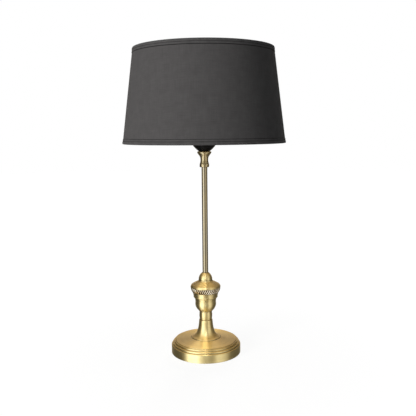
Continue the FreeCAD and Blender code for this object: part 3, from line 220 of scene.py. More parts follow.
def blotches(name):
    """Uneven colour of an old finish: a broad noise and a finer one, averaged and given more contrast."""
    tree, given, result = group(name, {"Position": None, "Broad": 28.0, "Fine": 240.0}, ("Mask",))
    broad = noise(tree, given["Position"], given["Broad"], 3.0, 0.6)
    fine = noise(tree, given["Position"], given["Fine"], 2.0, 0.5)
    both = plus(tree, times(tree, broad, 0.65), times(tree, fine, 0.35))
    tree.links.new(faded(tree, both, 0.36, 0.64), result["Mask"])
    return tree


def ring_line(name):
    """Mask of a ring round the axis: 1 on the circle of that radius and height, 0 one spread away from it."""
    tree, given, result = group(
        name, {"Position": None, "Radius": 0.01, "Height": 0.0, "Spread": 0.001}, ("Mask",))
    across, height = axis_parts(tree, given["Position"])[:2]
    out = calc(tree, "SUBTRACT", across, given["Radius"])
    up = calc(tree, "SUBTRACT", height, given["Height"])
    away = calc(tree, "SQRT", plus(tree, times(tree, out, out), times(tree, up, up)))
    tree.links.new(faded(tree, calc(tree, "DIVIDE", away, given["Spread"]), 1.0, 0.15), result["Mask"])
    return tree


def flute_gaps(name):
    """Mask of the gaps between leaning flutes: cosine of their number times the bearing, less the lean."""
    tree, given, result = group(name, {"Position": None, "Base": 0.0, "Height": 0.01}, ("Mask",))
    right, rear, height = parts_of(tree, given["Position"])
    bearing = calc(tree, "ARCTAN2", rear, right)
    share = calc(tree, "DIVIDE", calc(tree, "SUBTRACT", height, given["Base"]), given["Height"])
    straight = calc(tree, "SUBTRACT", bearing, times(tree, share, FLUTE_LEAN))
    wave = calc(tree, "COSINE", times(tree, straight, FLUTES))
    tree.links.new(faded(tree, wave, 0.6, -0.3), result["Mask"])
    return tree


def weave(name):
    """Plain weave on cloth coordinates in metres: the higher of two crossing sets of threads, each a sine
    whose sign swaps every other thread, with thicker and thinner threads as noise stretched along them."""
    tree, given, result = group(name, {"Cloth": None, "Pitch": 0.0005}, ("Height", "Tone"))
    across, along = (times(tree, calc(tree, "DIVIDE", part, given["Pitch"]), math.pi)
                     for part in parts_of(tree, given["Cloth"])[:2])
    warp = times(tree, calc(tree, "ABSOLUTE", calc(tree, "SINE", across)), calc(tree, "COSINE", along))
    weft = times(tree, calc(tree, "ABSOLUTE", calc(tree, "SINE", along)), calc(tree, "COSINE", across))
    crossing = calc(tree, "MAXIMUM", calc(tree, "ABSOLUTE", warp), calc(tree, "ABSOLUTE", weft))
    upright = noise(tree, scaled(tree, given["Cloth"], (900.0, 32.0, 1.0)), 1.0, 3.0, 0.6)
    level = noise(tree, scaled(tree, given["Cloth"], (32.0, 900.0, 1.0)), 1.0, 3.0, 0.6)
    slubs = times(tree, plus(tree, upright, level), 0.5)
    tree.links.new(plus(tree, times(tree, crossing, 0.6), times(tree, slubs, 0.8)), result["Height"])
    cloudy = noise(tree, given["Cloth"], 60.0, 3.0, 0.6)
    tone = plus(tree, times(tree, slubs, 0.7), times(tree, cloudy, 0.3))
    tree.links.new(faded(tree, tone, 0.3, 0.7), result["Tone"])
    return tree


def speckle(name):
    """Fine even grain of moulded, cast or fired surfaces: two noises, for the bump and for the colour."""
    tree, given, result = group(name, {"Position": None, "Grain": 900.0}, ("Height", "Tone"))
    tree.links.new(noise(tree, given["Position"], given["Grain"], 3.0, 0.6), result["Height"])
    tree.links.new(faded(tree, noise(tree, given["Position"], 90.0, 4.0, 0.6), 0.35, 0.65), result["Tone"])
    return tree


def fuzz(name):
    """Matted fibres: noise bent by another noise, so that it curls."""
    tree, given, result = group(name, {"Position": None}, ("Height", "Tone"))
    inputs = {"Vector": given["Position"], "Scale": 900.0, "Detail": 4.0, "Roughness": 0.7, "Distortion": 2.5}
    curls = add(tree, "TexNoise", inputs).outputs[0]
    tree.links.new(curls, result["Height"])
    broad = noise(tree, given["Position"], 120.0, 3.0, 0.6)
    tone = plus(tree, times(tree, curls, 0.6), times(tree, broad, 0.4))
    tree.links.new(faded(tree, tone, 0.3, 0.7), result["Tone"])
    return tree


EFFECTS = {"turning lines": turning_lines, "drawn lines": drawn_lines, "blotches": blotches,
           "ring line": ring_line, "flute gaps": flute_gaps, "weave": weave, "speckle": speckle, "fuzz": fuzz}


def material(name):
    """A new material. Returns it, its tree, its Principled shader and its texture coordinates."""
    made = bpy.data.materials.new(name)
    made.use_nodes = True
    tree = made.node_tree
    return made, tree, tree.nodes["Principled BSDF"], add(tree, "TexCoord").outputs


def fix(shader, **values):
    """Sets shader sockets, named with _ for spaces, to plain values."""
    for key, value in values.items():
        shader.inputs[key.replace("_", " ")].default_value = value


def feed(tree, shader, **sockets):
    """Links outputs to shader sockets, named with _ for spaces."""
    for key, socket in sockets.items():
        tree.links.new(socket, shader.inputs[key.replace("_", " ")])


def bumped(tree, shader, height, depth):
    """Height from 0 to 1 raises the surface by depth."""
    bump = add(tree, "Bump", {"Height": height, "Distance": depth, "Strength": 1.0})
    feed(tree, shader, Normal=bump.outputs[0])


def turned_metal(name, colours, rings, roughness, smear, line_depth, marks="turning lines"):
    """Turned or drawn and lacquered metal. Its colour goes from bright to the warmer colour where it faces
    up, a painted warm reflection with some real ageing, and in blotches, and darkens in the rings given as
    (radius, height, spread) with soiling and painted shade."""
    bright, aged_and_reflected, dirt_and_shade = colours
    made, tree, shader, at = material(name)
    place = at["Object"]
    fine = placed(tree, marks, place, Lines=FINE_LINES)["Height"]
    coarse = placed(tree, marks, place, Lines=COARSE_LINES)["Height"]
    old = placed(tree, "blotches", place)["Mask"]
    # Painted reflection: surfaces that face up take the warmer colour, standing for warm surroundings
    # reflected in them, with some real ageing from the blotches.
    upward = faded(tree, parts_of(tree, at["Normal"])[2], 0.15, 0.85)
    reflection_and_wear = plus(tree, times(tree, upward, 0.9), times(tree, old, 0.12), clamp=True)
    streaks = faded(tree, coarse, 0.3, 0.7, 0.0, 0.24)
    colour = mixed(tree, streaks, mixed(tree, reflection_and_wear, opaque(bright), opaque(aged_and_reflected)), opaque(aged_and_reflected, 0.55))
    # Painted shade: each ring darkens the colour and raises the roughness where a groove or joint lies,
    # standing for shade there as well as soiling.
    dirt_and_shade_mask = 0.0
    for radius, height, spread in rings:
        ring = placed(tree, "ring line", place, Radius=radius, Height=height, Spread=spread)
        dirt_and_shade_mask = calc(tree, "MAXIMUM", dirt_and_shade_mask, ring["Mask"])
    broken = times(tree, dirt_and_shade_mask, faded(tree, coarse, 0.2, 0.6, 0.35, 0.75))
    rough = faded(tree, old, 0.0, 1.0, roughness - 0.015, roughness + 0.02)
    rough = plus(tree, rough, times(tree, upward, 0.2))
    fix(shader, Metallic=1.0, Anisotropic=smear, Anisotropic_Rotation=0.25,
        Coat_Weight=0.3, Coat_Roughness=0.2)
    feed(tree, shader, Base_Color=mixed(tree, broken, colour, opaque(dirt_and_shade)),
         Roughness=plus(tree, rough, times(tree, dirt_and_shade_mask, 0.2)),
         Tangent=add(tree, "Tangent", direction_type="RADIAL", axis="Z").outputs[0])
    bumped(tree, shader, plus(tree, times(tree, fine, 0.4), times(tree, coarse, 0.6)), line_depth)
    return made


def plain_metal(name, colour, roughness, depth=0.00001):
    """Drawn, plated or cast metal with fine grain, a slightly uneven tone and uneven gloss."""
    made, tree, shader, at = material(name)
    grain = placed(tree, "speckle", at["Object"], Grain=1500.0)
    old = placed(tree, "blotches", at["Object"], Broad=60.0)["Mask"]
    shade = times(tree, plus(tree, old, grain["Tone"]), 0.5)
    feed(tree, shader, Base_Color=mixed(tree, shade, opaque(colour), opaque(colour, 0.72)),
         Roughness=faded(tree, old, 0.0, 1.0, roughness - 0.06, roughness + 0.08))
    fix(shader, Metallic=1.0)
    bumped(tree, shader, grain["Height"], depth)
    return made


def moulded(name, colour, roughness, depth=0.00001, coat=0.0, shine=0.4):
    """Moulded, fired or painted surface: even colour with a faint mottle, fine grain and rubbed gloss."""
    made, tree, shader, at = material(name)
    grain = placed(tree, "speckle", at["Object"])
    rubbed = placed(tree, "blotches", at["Object"], Broad=45.0)["Mask"]
    feed(tree, shader,
         Base_Color=mixed(tree, grain["Tone"], opaque(colour), opaque(colour, 0.8, 0.004)),
         Roughness=faded(tree, rubbed, 0.0, 1.0, roughness - 0.07, roughness + 0.09))
    fix(shader, Coat_Weight=coat, Coat_Roughness=0.15, Specular_IOR_Level=shine)
    bumped(tree, shader, grain["Height"], depth)
    return made


def clear(name, colour):
    """Clear blown glass whose surface waves very slightly."""
    made, tree, shader, at = material(name)
    waves = placed(tree, "blotches", at["Object"], Broad=50.0, Fine=110.0)["Mask"]
    feed(tree, shader, Base_Color=mixed(tree, waves, opaque(colour), opaque(colour, 0.985)))
    fix(shader, Roughness=0.0, Transmission_Weight=1.0, IOR=1.47)
    bumped(tree, shader, waves, 0.00002)
    return made


def textured(name, title, values, first, second, gloss, depth, **sockets):
    """A look whose shared effect mixes two colours, raises the surface and varies its roughness."""
    made, tree, shader, at = material(name)
    grain = placed(tree, title, at["Object"], **values)
    feed(tree, shader, Base_Color=mixed(tree, grain["Tone"], opaque(*first), opaque(*second)),
         Roughness=faded(tree, grain["Height"], 0.3, 0.7, *gloss))
    fix(shader, **sockets)
    bumped(tree, shader, grain["Height"], depth)
    return made


def cloth(name, colour, pitch, tone_range, depth, painted_shade_lines, from_tip=False):
    """Woven cloth on its own flat coordinates, with thicker threads paler than the gaps between them. Each of
    the painted shade lines is a darker line (place, half width, share) standing for shade in a fold or under
    a tape's edge: its place is read along the cloth's second coordinate, or as the distance from the flat
    cloth's tip."""
    made, tree, shader, at = material(name)
    threads = placed(tree, "weave", at["UV"], Pitch=pitch)
    low, high = tone_range
    colour = mixed(tree, threads["Tone"], opaque(colour, low), opaque(colour, high))
    place = length_of(tree, at["UV"]) if from_tip else parts_of(tree, at["UV"])[1]
    # Painted shade: each line darkens the cloth towards near black.
    for middle, half, share in painted_shade_lines:
        away = calc(tree, "ABSOLUTE", calc(tree, "SUBTRACT", place, middle))
        line = faded(tree, away, half, 0.3 * half, 0.0, share)
        colour = mixed(tree, line, colour, (0.004, 0.004, 0.004, 1.0))
    feed(tree, shader, Base_Color=colour, Roughness=faded(tree, threads["Tone"], 0.0, 1.0, 0.86, 0.96))
    fix(shader, Specular_IOR_Level=0.1)
    bumped(tree, shader, threads["Height"], depth)
    return made


# ---- mesh building ----

def surface(name, points, flat=None, joined=False, capped=False, skip=None):
    """A mesh from a grid of points (rows, columns, 3). joined closes it from the last column to the first,
    capped draws the first and last rows to a point each, flat gives each point's place on the flat cloth,
    and skip marks cells that are left open."""
    rows, columns = points.shape[:2]
    index = np.arange(rows * columns).reshape(rows, columns)
    if joined:
        index = np.concatenate([index, index[:, :1]], axis=1)
    cells = np.stack([index[:-1, :-1], index[:-1, 1:], index[1:, 1:], index[1:, :-1]], axis=-1)
    kept = np.ones(cells.shape[:2], dtype=bool) if skip is None else ~skip
    if capped:
        kept[[0, -1]] = False
    corners = cells[kept].ravel()
    totals = np.full(int(kept.sum()), 4)
    if capped:
        first = np.stack([np.zeros_like(index[1, :-1]), index[1, 1:], index[1, :-1]], axis=-1)[:, ::-1]
        last = np.stack([index[-2, :-1], index[-2, 1:], np.full_like(index[-2, 1:], index[-1, 0])], axis=-1)
        corners = np.concatenate([corners, first.ravel(), last.ravel()])
        totals = np.concatenate([totals, np.full(2 * (index.shape[1] - 1), 3)])
    mesh = bpy.data.meshes.new(name)
    mesh.vertices.add(rows * columns)
    mesh.vertices.foreach_set("co", points.astype(np.float32).ravel())
    mesh.loops.add(len(corners))
    mesh.loops.foreach_set("vertex_index", corners.astype(np.int32))
    mesh.polygons.add(len(totals))
    mesh.polygons.foreach_set("loop_start", (np.cumsum(totals) - totals).astype(np.int32))
    mesh.polygons.foreach_set("use_smooth", np.ones(len(totals), dtype=bool))
    mesh.update(calc_edges=True)
    if flat is not None:
        layer = mesh.uv_layers.new(name="cloth")
        layer.data.foreach_set("uv", flat.reshape(-1, 2)[corners].astype(np.float32).ravel())
    made = bpy.data.objects.new(name, mesh)
    bpy.context.collection.objects.link(made)
    loose = np.setdiff1d(np.arange(rows * columns), corners)
    if len(loose):
        drop_points(mesh, loose)
    return made


def drop_points(mesh, loose):
    """Deletes the points that no face uses."""
    work = bmesh.new()
    work.from_mesh(mesh)
    work.verts.ensure_lookup_table()
    bmesh.ops.delete(work, geom=[work.verts[number] for number in loose.tolist()], context="VERTS")
    work.to_mesh(mesh)
    work.free()


def thicken(made, depth):
    """Gives an open sheet its thickness, inwards from the side that faces out."""
    wall = made.modifiers.new("thickness", "SOLIDIFY")
    wall.thickness = depth
    wall.offset = -1.0
    wall.use_even_offset = True
    wall.use_rim = True


def finish_piece(made, look, body, slot, *nodes):
    """Gives a new piece its material and its body, and hides the CAD nodes that it stands for. The slot is
    not used.
    """
    made.data.materials.append(look)
    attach(made, body)
    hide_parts(*nodes)


def dress(names, look):
    """Gives CAD nodes a material in place of their plain one."""
    for name in names:
        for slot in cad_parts[name].material_slots:
            slot.material = look


def radii_and_heights(name):
    """Every point of a CAD node as (distance from the axis, height)."""
    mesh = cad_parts[name].data
    points = np.empty(3 * len(mesh.vertices), dtype=np.float32)
    mesh.vertices.foreach_get("co", points)
    points = points.reshape(-1, 3).astype(float)
    return np.stack([np.hypot(points[:, 0], points[:, 1]), points[:, 2]], axis=-1)


def wall_line(name):
    """Outer line of a conical CAD layer, as (radius, height) at its foot and at its head."""
    profile = radii_and_heights(name)
    return profile[profile[:, 0].argmax()], profile[profile[:, 1].argmax()]


def edge_radius(name, height):
    """Largest radius of a CAD node within a millimetre of that height."""
    profile = radii_and_heights(name)
    return float(profile[np.abs(profile[:, 1] - height) < MM, 0].max())


def step(value):
    """Smooth change from 0 to 1 as value goes from 0 to 1: three of its squares less two of its cubes."""
    value = np.clip(value, 0.0, 1.0)
    return value * value * (3.0 - 2.0 * value)


def wrap(start, overlap, columns, rise):
    """Angles from start once round and on by overlap (radians), and how far each lies on top of the
    layer's own beginning: 0 on the layer below, 1 one thickness above it, rising over rise."""
    angle = start + np.linspace(0.0, TURN + overlap, columns)
    return angle, step((angle - start - TURN + rise) / rise)


def turned_points(across, height, angle):
    """Points at those distances from the axis, heights and angles, with their three parts last."""
    return np.stack(np.broadcast_arrays(across * np.cos(angle), across * np.sin(angle), height), axis=-1)


# ---- settings ----

SHARE = {"subtype": "FACTOR", "min": 0.0, "max": 1.0}
ANGLE = {"subtype": "ANGLE", "unit": "ROTATION", "min": -1.5, "max": 1.5}
POWER = {"min": 0.0, "max": 500.0}


def tint(name, description, default):
    """A colour among the settings."""
    return FloatVectorProperty(name=name, description=description, default=default, subtype="COLOR", size=3,
                               min=0.0, max=1.0)


class LampBrass(bpy.types.PropertyGroup):
    """Colours and polish of the brass."""
    bright: tint("Bright brass", "Colour of upright polished brass", (0.82, 0.72, 0.38))
    # Painted reflection: this warmer colour goes where brass faces up, standing for warm surroundings
    # reflected there; it is also the brass's real ageing tone.
    aged_and_reflected: tint("Aged brass", "Colour of brass that faces up", (0.83, 0.575, 0.20))
    # Painted shade: this colour darkens grooves, joints and the gaps between flutes, standing for shade there
    # as well as for soiling.
    dirt_and_shade: tint("Dirt", "Colour left in grooves and joints", (0.10, 0.06, 0.02))
    drawn: tint("Drawn brass", "Colour of the stem's tube", (0.33, 0.31, 0.235))
    # Painted shade: this darker, greyer colour of the cup and bead stands partly for the dark lampshade above
    # them and its reflection, partly for their own tone.
    cup_tone_and_shade: tint("Dark brass", "Colour of the candle cup and its bead", (0.40, 0.36, 0.235))
    silver: tint("Silvered brass", "Colour of the fluted ring", (0.80, 0.75, 0.64))
    roughness: FloatProperty(
        name="Roughness", description="How blurred the brass reflects", default=0.30, **SHARE)
    tube_roughness: FloatProperty(
        name="Tube roughness", description="How blurred the stem reflects", default=0.14, **SHARE)
    cup_roughness: FloatProperty(
        name="Cup roughness", description="How blurred the candle cup reflects", default=0.22, **SHARE)
    smear: FloatProperty(
        name="Smear", description="How far lathe marks draw reflections out", default=1.0, **SHARE)
    line_depth: FloatProperty(
        name="Mark depth", description="Depth of the lathe marks", unit="LENGTH", min=0.0, max=0.001,
        default=0.000015, precision=6)


class LampShade(bpy.types.PropertyGroup):
    """Cloth, lining and tapes of the shade."""
    cloth: tint("Cloth", "Colour of the woven cloth", (0.063, 0.0615, 0.0625))
    tape: tint("Tape", "Colour of the rim tapes", (0.060, 0.059, 0.060))
    lining: tint("Lining", "Colour of the stiff lining", (0.80, 0.78, 0.72))
    seam: FloatProperty(
        name="Seam", description="Width by which the cloth's ends overlap", unit="LENGTH", min=0.004,
        max=0.04, default=0.012)
    cloth_depth: FloatProperty(
        name="Cloth thickness", description="Thickness of the cloth", unit="LENGTH", min=0.0002, max=0.001,
        default=0.0005, precision=5)
    tape_depth: FloatProperty(
        name="Tape thickness", description="Thickness of the tape", unit="LENGTH", min=0.0002, max=0.001,
        default=0.00045, precision=5)
    thread: FloatProperty(
        name="Thread pitch", description="Distance between the cloth's threads", unit="LENGTH", min=0.0002,
        max=0.002, default=0.00045, precision=5)
    columns: IntProperty(name="Columns", description="Steps round the shade", min=180, max=1440, default=724)


class LampFittings(bpy.types.PropertyGroup):
    """Colours of the lampholder, the bulb and the wires."""
    black: tint("Black moulding", "Colour of the lampholder", (0.004, 0.004, 0.0045))
    ceramic: tint("Ceramic", "Colour of the terminal block", (0.78, 0.76, 0.70))
    wire: tint("Painted wire", "Colour of the shade's wire frame", (0.78, 0.78, 0.75))
    phosphor: tint("Filament coat", "Colour of the filament sticks, unlit", (0.85, 0.62, 0.16))
    felt: tint("Felt", "Colour of the felt under the foot", (0.035, 0.055, 0.038))


class LampStudio(bpy.types.PropertyGroup):
    """Camera and light."""
    lens: FloatProperty(
        name="Lens", description="Focal length on a sensor 36 mm wide", min=10.0, max=200.0, default=50.61)
    distance: FloatProperty(
        name="Distance", description="Camera's distance in front of the lamp", unit="LENGTH", min=0.3,
        max=5.0, default=1.2707)
    height: FloatProperty(
        name="Height", description="Camera's height over the table", unit="LENGTH", min=0.0, max=3.0,
        default=0.4935)
    pitch: FloatProperty(name="Pitch", description="How far the camera looks down", default=0.1312, **ANGLE)
    yaw: FloatProperty(name="Yaw", description="How far the camera looks right", default=0.0055, **ANGLE)
    roll: FloatProperty(name="Roll", description="How far the camera leans", default=-0.0087, **ANGLE)
    key: FloatProperty(
        name="Key light", description="Power of the large lamp on the left, in watts", default=99.0, **POWER)
    fill: FloatProperty(
        name="Fill light", description="Power of the lamp on the right, in watts", default=1.0, **POWER)
    back: FloatProperty(
        name="Back light", description="Power of the lamp behind, in watts", default=60.0, **POWER)
    overhead: FloatProperty(
        name="Overhead light", description="Power of the lamp above, in watts", default=14.0, **POWER)
    ambient: FloatProperty(
        name="Ambient", description="Strength of the light from all round", min=0.0, max=2.0, default=0.07)
    gloss: FloatProperty(
        name="Reflected studio", description="Strength of the studio that metal reflects", min=0.0, max=3.0,
        default=2.1)


# ---- operators ----

class LAMP_OT_brass(bpy.types.Operator):
    """Finishes the turned brass column, the foot and the fluted ring"""
    bl_idname = "lamp.brass"
    bl_label = "Finish brass"

    def execute(self, context):
        given = context.scene.lamp_brass
        plain = (given.bright, given.aged_and_reflected, given.dirt_and_shade), given.roughness, given.smear, given.line_depth
        # Painted shade: the cup and bead take the darker colour.
        dark = (given.cup_tone_and_shade, given.aged_and_reflected, given.dirt_and_shade), given.cup_roughness, 0.8, given.line_depth / 2
        drawn = (given.drawn, given.aged_and_reflected, given.dirt_and_shade), given.tube_roughness, 0.5, 0.000004, "drawn lines"
        finishes = {"stem_tube": drawn, "cup_ring": dark, "candle_cup": dark}
        for name, rings in self.dirt_and_shade_rings().items():
            colours, *polish = finishes.get(name, plain)
            dress([name], turned_metal(name.replace("_", " ") + " brass", colours, rings, *polish))
        dress(["fluted_ring"], self.fluted(given))
        return {"FINISHED"}

    def dirt_and_shade_rings(self):
        """Circles that darken with soiling and painted shade, for each piece: its grooves, and its joints
        with its neighbours.
        """
        joint = {name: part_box(name)[0].z for name in JOINT_SPREADS}
        upper = dict(zip(joint, list(joint)[1:]))
        collar_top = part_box("stem_collar")[1].z
        rings = {name: [(edge_radius(name, joint[name]), joint[name], JOINT_SPREADS[name])]
                 for name in joint if name != "fluted_ring"}
        radius, height, _ = rings["pedestal"][0]
        rings["foot_shell"] = [*FOOT_GROOVES, (radius, height, 0.0014)]
        for name in ("pedestal", "neck_ring", "urn_bowl", "urn_shoulder", "cup_ring"):
            head = joint[upper[name]]
            rings[name].append((edge_radius(name, head), head, JOINT_SPREADS[upper[name]]))
        rings["urn_bowl"].append(URN_GROOVE)
        rings["stem_collar"].append((TUBE_RADIUS + 0.0002, collar_top, 0.0014))
        rings["stem_tube"] = [(TUBE_RADIUS, collar_top, 0.0014), (TUBE_RADIUS, joint["cup_ring"], 0.0012)]
        return rings

    def fluted(self, given):
        """Silvery cast ring whose gaps are darkened with painted shade between the flutes."""
        low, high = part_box("fluted_ring")
        made, tree, shader, at = material("silvered flutes")
        gaps = placed(tree, "flute gaps", at["Object"], Base=low.z, Height=high.z - low.z)["Mask"]
        old = placed(tree, "blotches", at["Object"], Broad=90.0, Fine=400.0)["Mask"]
        colour = mixed(tree, times(tree, old, 0.2), opaque(given.silver), opaque(given.aged_and_reflected))
        # Painted shade: the gaps between the flutes take the dark soiling colour.
        colour = mixed(tree, gaps, colour, opaque(given.dirt_and_shade, 0.9))
        feed(tree, shader, Base_Color=colour, Roughness=faded(tree, gaps, 0.0, 1.0, 0.22, 0.6))
        fix(shader, Metallic=1.0)
        bumped(tree, shader, old, 0.00003)
        return made


class LAMP_OT_lampholder(bpy.types.Operator):
    """Finishes the lampholder, its inside, the bush, the weight and the fixings"""
    bl_idname = "lamp.lampholder"
    bl_label = "Finish lampholder and fixings"

    def execute(self, context):
        given = context.scene.lamp_fittings
        dress(["holder_cap", "holder_body", "clamp_ring"],
              moulded("black moulding", given.black, 0.36, shine=0.06))
        dress(["cord_bushing"], moulded("soft black moulding", given.black, 0.6, 0.00002))
        dress(["terminal_block"], moulded("glazed ceramic", given.ceramic, 0.25, coat=0.6))
        dress(["foot_weight"], plain_metal("cast iron", (0.10, 0.10, 0.105), 0.62, 0.0002))
        dress(["tie_tube", "foot_nut", "foot_washer", "top_lock_nut", "cap_lock_screw"],
              plain_metal("zinc plate", (0.56, 0.57, 0.58), 0.35))
        dress(["cup_grub_screw"], plain_metal("blackened steel", (0.10, 0.09, 0.08), 0.5))
        dress(["terminal_screws", "screw_shell", "shell_rivets", "centre_contact"],
              plain_metal("bright brass", (0.80, 0.62, 0.30), 0.28))
        return {"FINISHED"}


class LAMP_OT_bulb(bpy.types.Operator):
    """Finishes the candle bulb"""
    bl_idname = "lamp.bulb"
    bl_label = "Finish bulb"

    def execute(self, context):
        given = context.scene.lamp_fittings
        dress(["bulb_glass", "bulb_mount"], clear("clear glass", (0.98, 0.99, 0.99)))
        dress(["bulb_insulator"], moulded("black glass", (0.01, 0.01, 0.012), 0.12, 0.000005, 0.8))
        dress(["bulb_cap", "bulb_tip"], plain_metal("nickelled cap", (0.70, 0.62, 0.46), 0.3))
        dress(["bulb_filaments"], moulded("filament coat", given.phosphor, 0.55, 0.00002))
        dress(["bulb_supports"], plain_metal("drawn wire", (0.62, 0.60, 0.57), 0.3))
        return {"FINISHED"}


class LAMP_OT_carrier(bpy.types.Operator):
    """Finishes the shade's wire frame"""
    bl_idname = "lamp.carrier"
    bl_label = "Finish wire frame"

    def execute(self, context):
        look = moulded("painted wire", context.scene.lamp_fittings.wire, 0.42, 0.00003, 0.15)
        dress(["carrier_ring", "spider_arms", "top_hoop", "bottom_hoop"], look)
        return {"FINISHED"}


def layer_points(foot, head, out, along_count, angle, lift, depth, ripple):
    """A conical layer: points on the line from foot to head (radius, height), moved along the wall's
    normal by out, by depth where the layer lies on itself, and by a slow ripple of sines."""
    down = foot - head
    normal = np.array([-down[1], down[0]]) / math.hypot(*down)
    share = np.linspace(0.0, 1.0, along_count)[:, None]
    waves = ripple * (np.sin(7 * angle + 3.0 * share) + np.sin(12 * angle - 5.0 * share + 1.7)) / 2
    away = out + depth * lift + waves * (1 - lift)
    across = foot[0] - down[0] * share + normal[0] * away
    return turned_points(across, foot[1] - down[1] * share + normal[1] * away, angle)


def flat_layer(foot, head, along_count, angle):
    """Where each point of a conical layer lies when the cone is rolled out flat: at its distance from the
    tip, at the angle times the sine of the half angle, with the front upright. Also the sheet's area."""
    down = foot - head
    sine = down[0] / math.hypot(*down)
    reach = np.linspace(foot[0], head[0], along_count)[:, None] / sine
    middle = (angle[0] + angle[-1]) / 2
    turned = (angle - middle) * sine
    flat = np.stack([reach * np.sin(turned), reach * np.cos(turned)], axis=-1)
    area = (angle[-1] - angle[0]) * sine / 2 * (reach[0, 0] ** 2 - reach[-1, 0] ** 2)
    return flat, float(area)


def make_layer(name, node, start, seam, columns, rows, rise, out, depth, lap, ripple):
    """Makes a conical layer in a CAD node's place, wrapped once round from start with its ends lapped by
    seam. Returns it, its flat form and the area of the cut sheet."""
    foot, head = wall_line(node)
    angle, lift = wrap(start, seam / foot[0], columns, rise)
    flat, area = flat_layer(foot, head, rows, angle)
    made = surface(name, layer_points(foot, head, out, rows, angle, lift, lap, ripple), flat)
    thicken(made, depth)
    return made, flat, area


class LAMP_OT_shade_cloth(bpy.types.Operator):
    """Makes the woven cloth, wrapped once round the shade with a lapped seam at the back"""
    bl_idname = "lamp.shade_cloth"
    bl_label = "Make shade cloth"

    def execute(self, context):
        given = context.scene.lamp_shade
        lap = given.cloth_depth + CLOTH_GAP
        made, flat, area = make_layer("shade_cloth", "shade_fabric", BACK, given.seam,
                                      given.columns, rows=48, rise=0.03, out=0.0,
                                      depth=given.cloth_depth, lap=lap, ripple=CLOTH_RIPPLE)
        reach = np.linalg.norm(flat[[0, -1], 0], axis=-1)
        # Painted shadow under the lower edge of the top tape and the upper edge of the bottom tape, partly a
        # darker glue line.
        painted_shade_lines = [(reach[1] + 10.4 * MM, 1.1 * MM, 0.85), (reach[0] - 10.2 * MM, 0.8 * MM, 0.7)]
        look = cloth("shade cloth", given.cloth, given.thread, (0.86, 1.16), 0.00008, painted_shade_lines, True)
        finish_piece(made, look, "shade", "shade_fabric", "shade_fabric")
        return {"FINISHED"}


class LAMP_OT_lining(bpy.types.Operator):
    """Makes the stiff lining, whose ends lap inwards at the back"""
    bl_idname = "lamp.lining"
    bl_label = "Make lining"

    def execute(self, context):
        given = context.scene.lamp_shade
        lap = -(LINING_DEPTH + LINING_GAP)
        made, flat, area = make_layer("lining_sheet", "shade_lining", BACK + 0.2, given.seam,
                                      given.columns // 2, rows=24, rise=0.04, out=-0.02 * MM,
                                      depth=LINING_DEPTH, lap=lap, ripple=0.0)
        look = textured("pale lining", "speckle", {"Grain": 1400.0}, (given.lining,), (given.lining, 0.93),
                        (0.55, 0.7), 0.00003)
        finish_piece(made, look, "shade", "shade_lining", "shade_lining")
        return {"FINISHED"}


# Tape's outer face, as (along the wall from the rim's corner, out from the cloth's face) in millimetres:
# over the outside, round the corner, across the rim, and down the inside of the hoop.
TAPE_PROFILE = ((9.7, 0.12), (9.66, 0.46), (9.3, 0.56), (8.4, 0.57), (7.0, 0.57), (6.2, 0.56), (5.8, 0.46),
                (5.55, 0.38), (5.3, 0.47), (4.9, 0.62), (4.0, 0.70), (3.0, 0.78), (2.0, 0.84), (1.1, 0.82),
                (0.45, 0.72), (0.0, 0.56), (-0.35, 0.25), (-0.55, -0.25), (-0.66, -1.0), (-0.7, -1.9),
                (-0.68, -2.8), (-0.58, -3.6), (-0.3, -4.25), (0.1, -4.6), (0.8, -4.78), (1.8, -4.8),
                (3.0, -4.78), (4.0, -4.74), (4.5, -4.7))


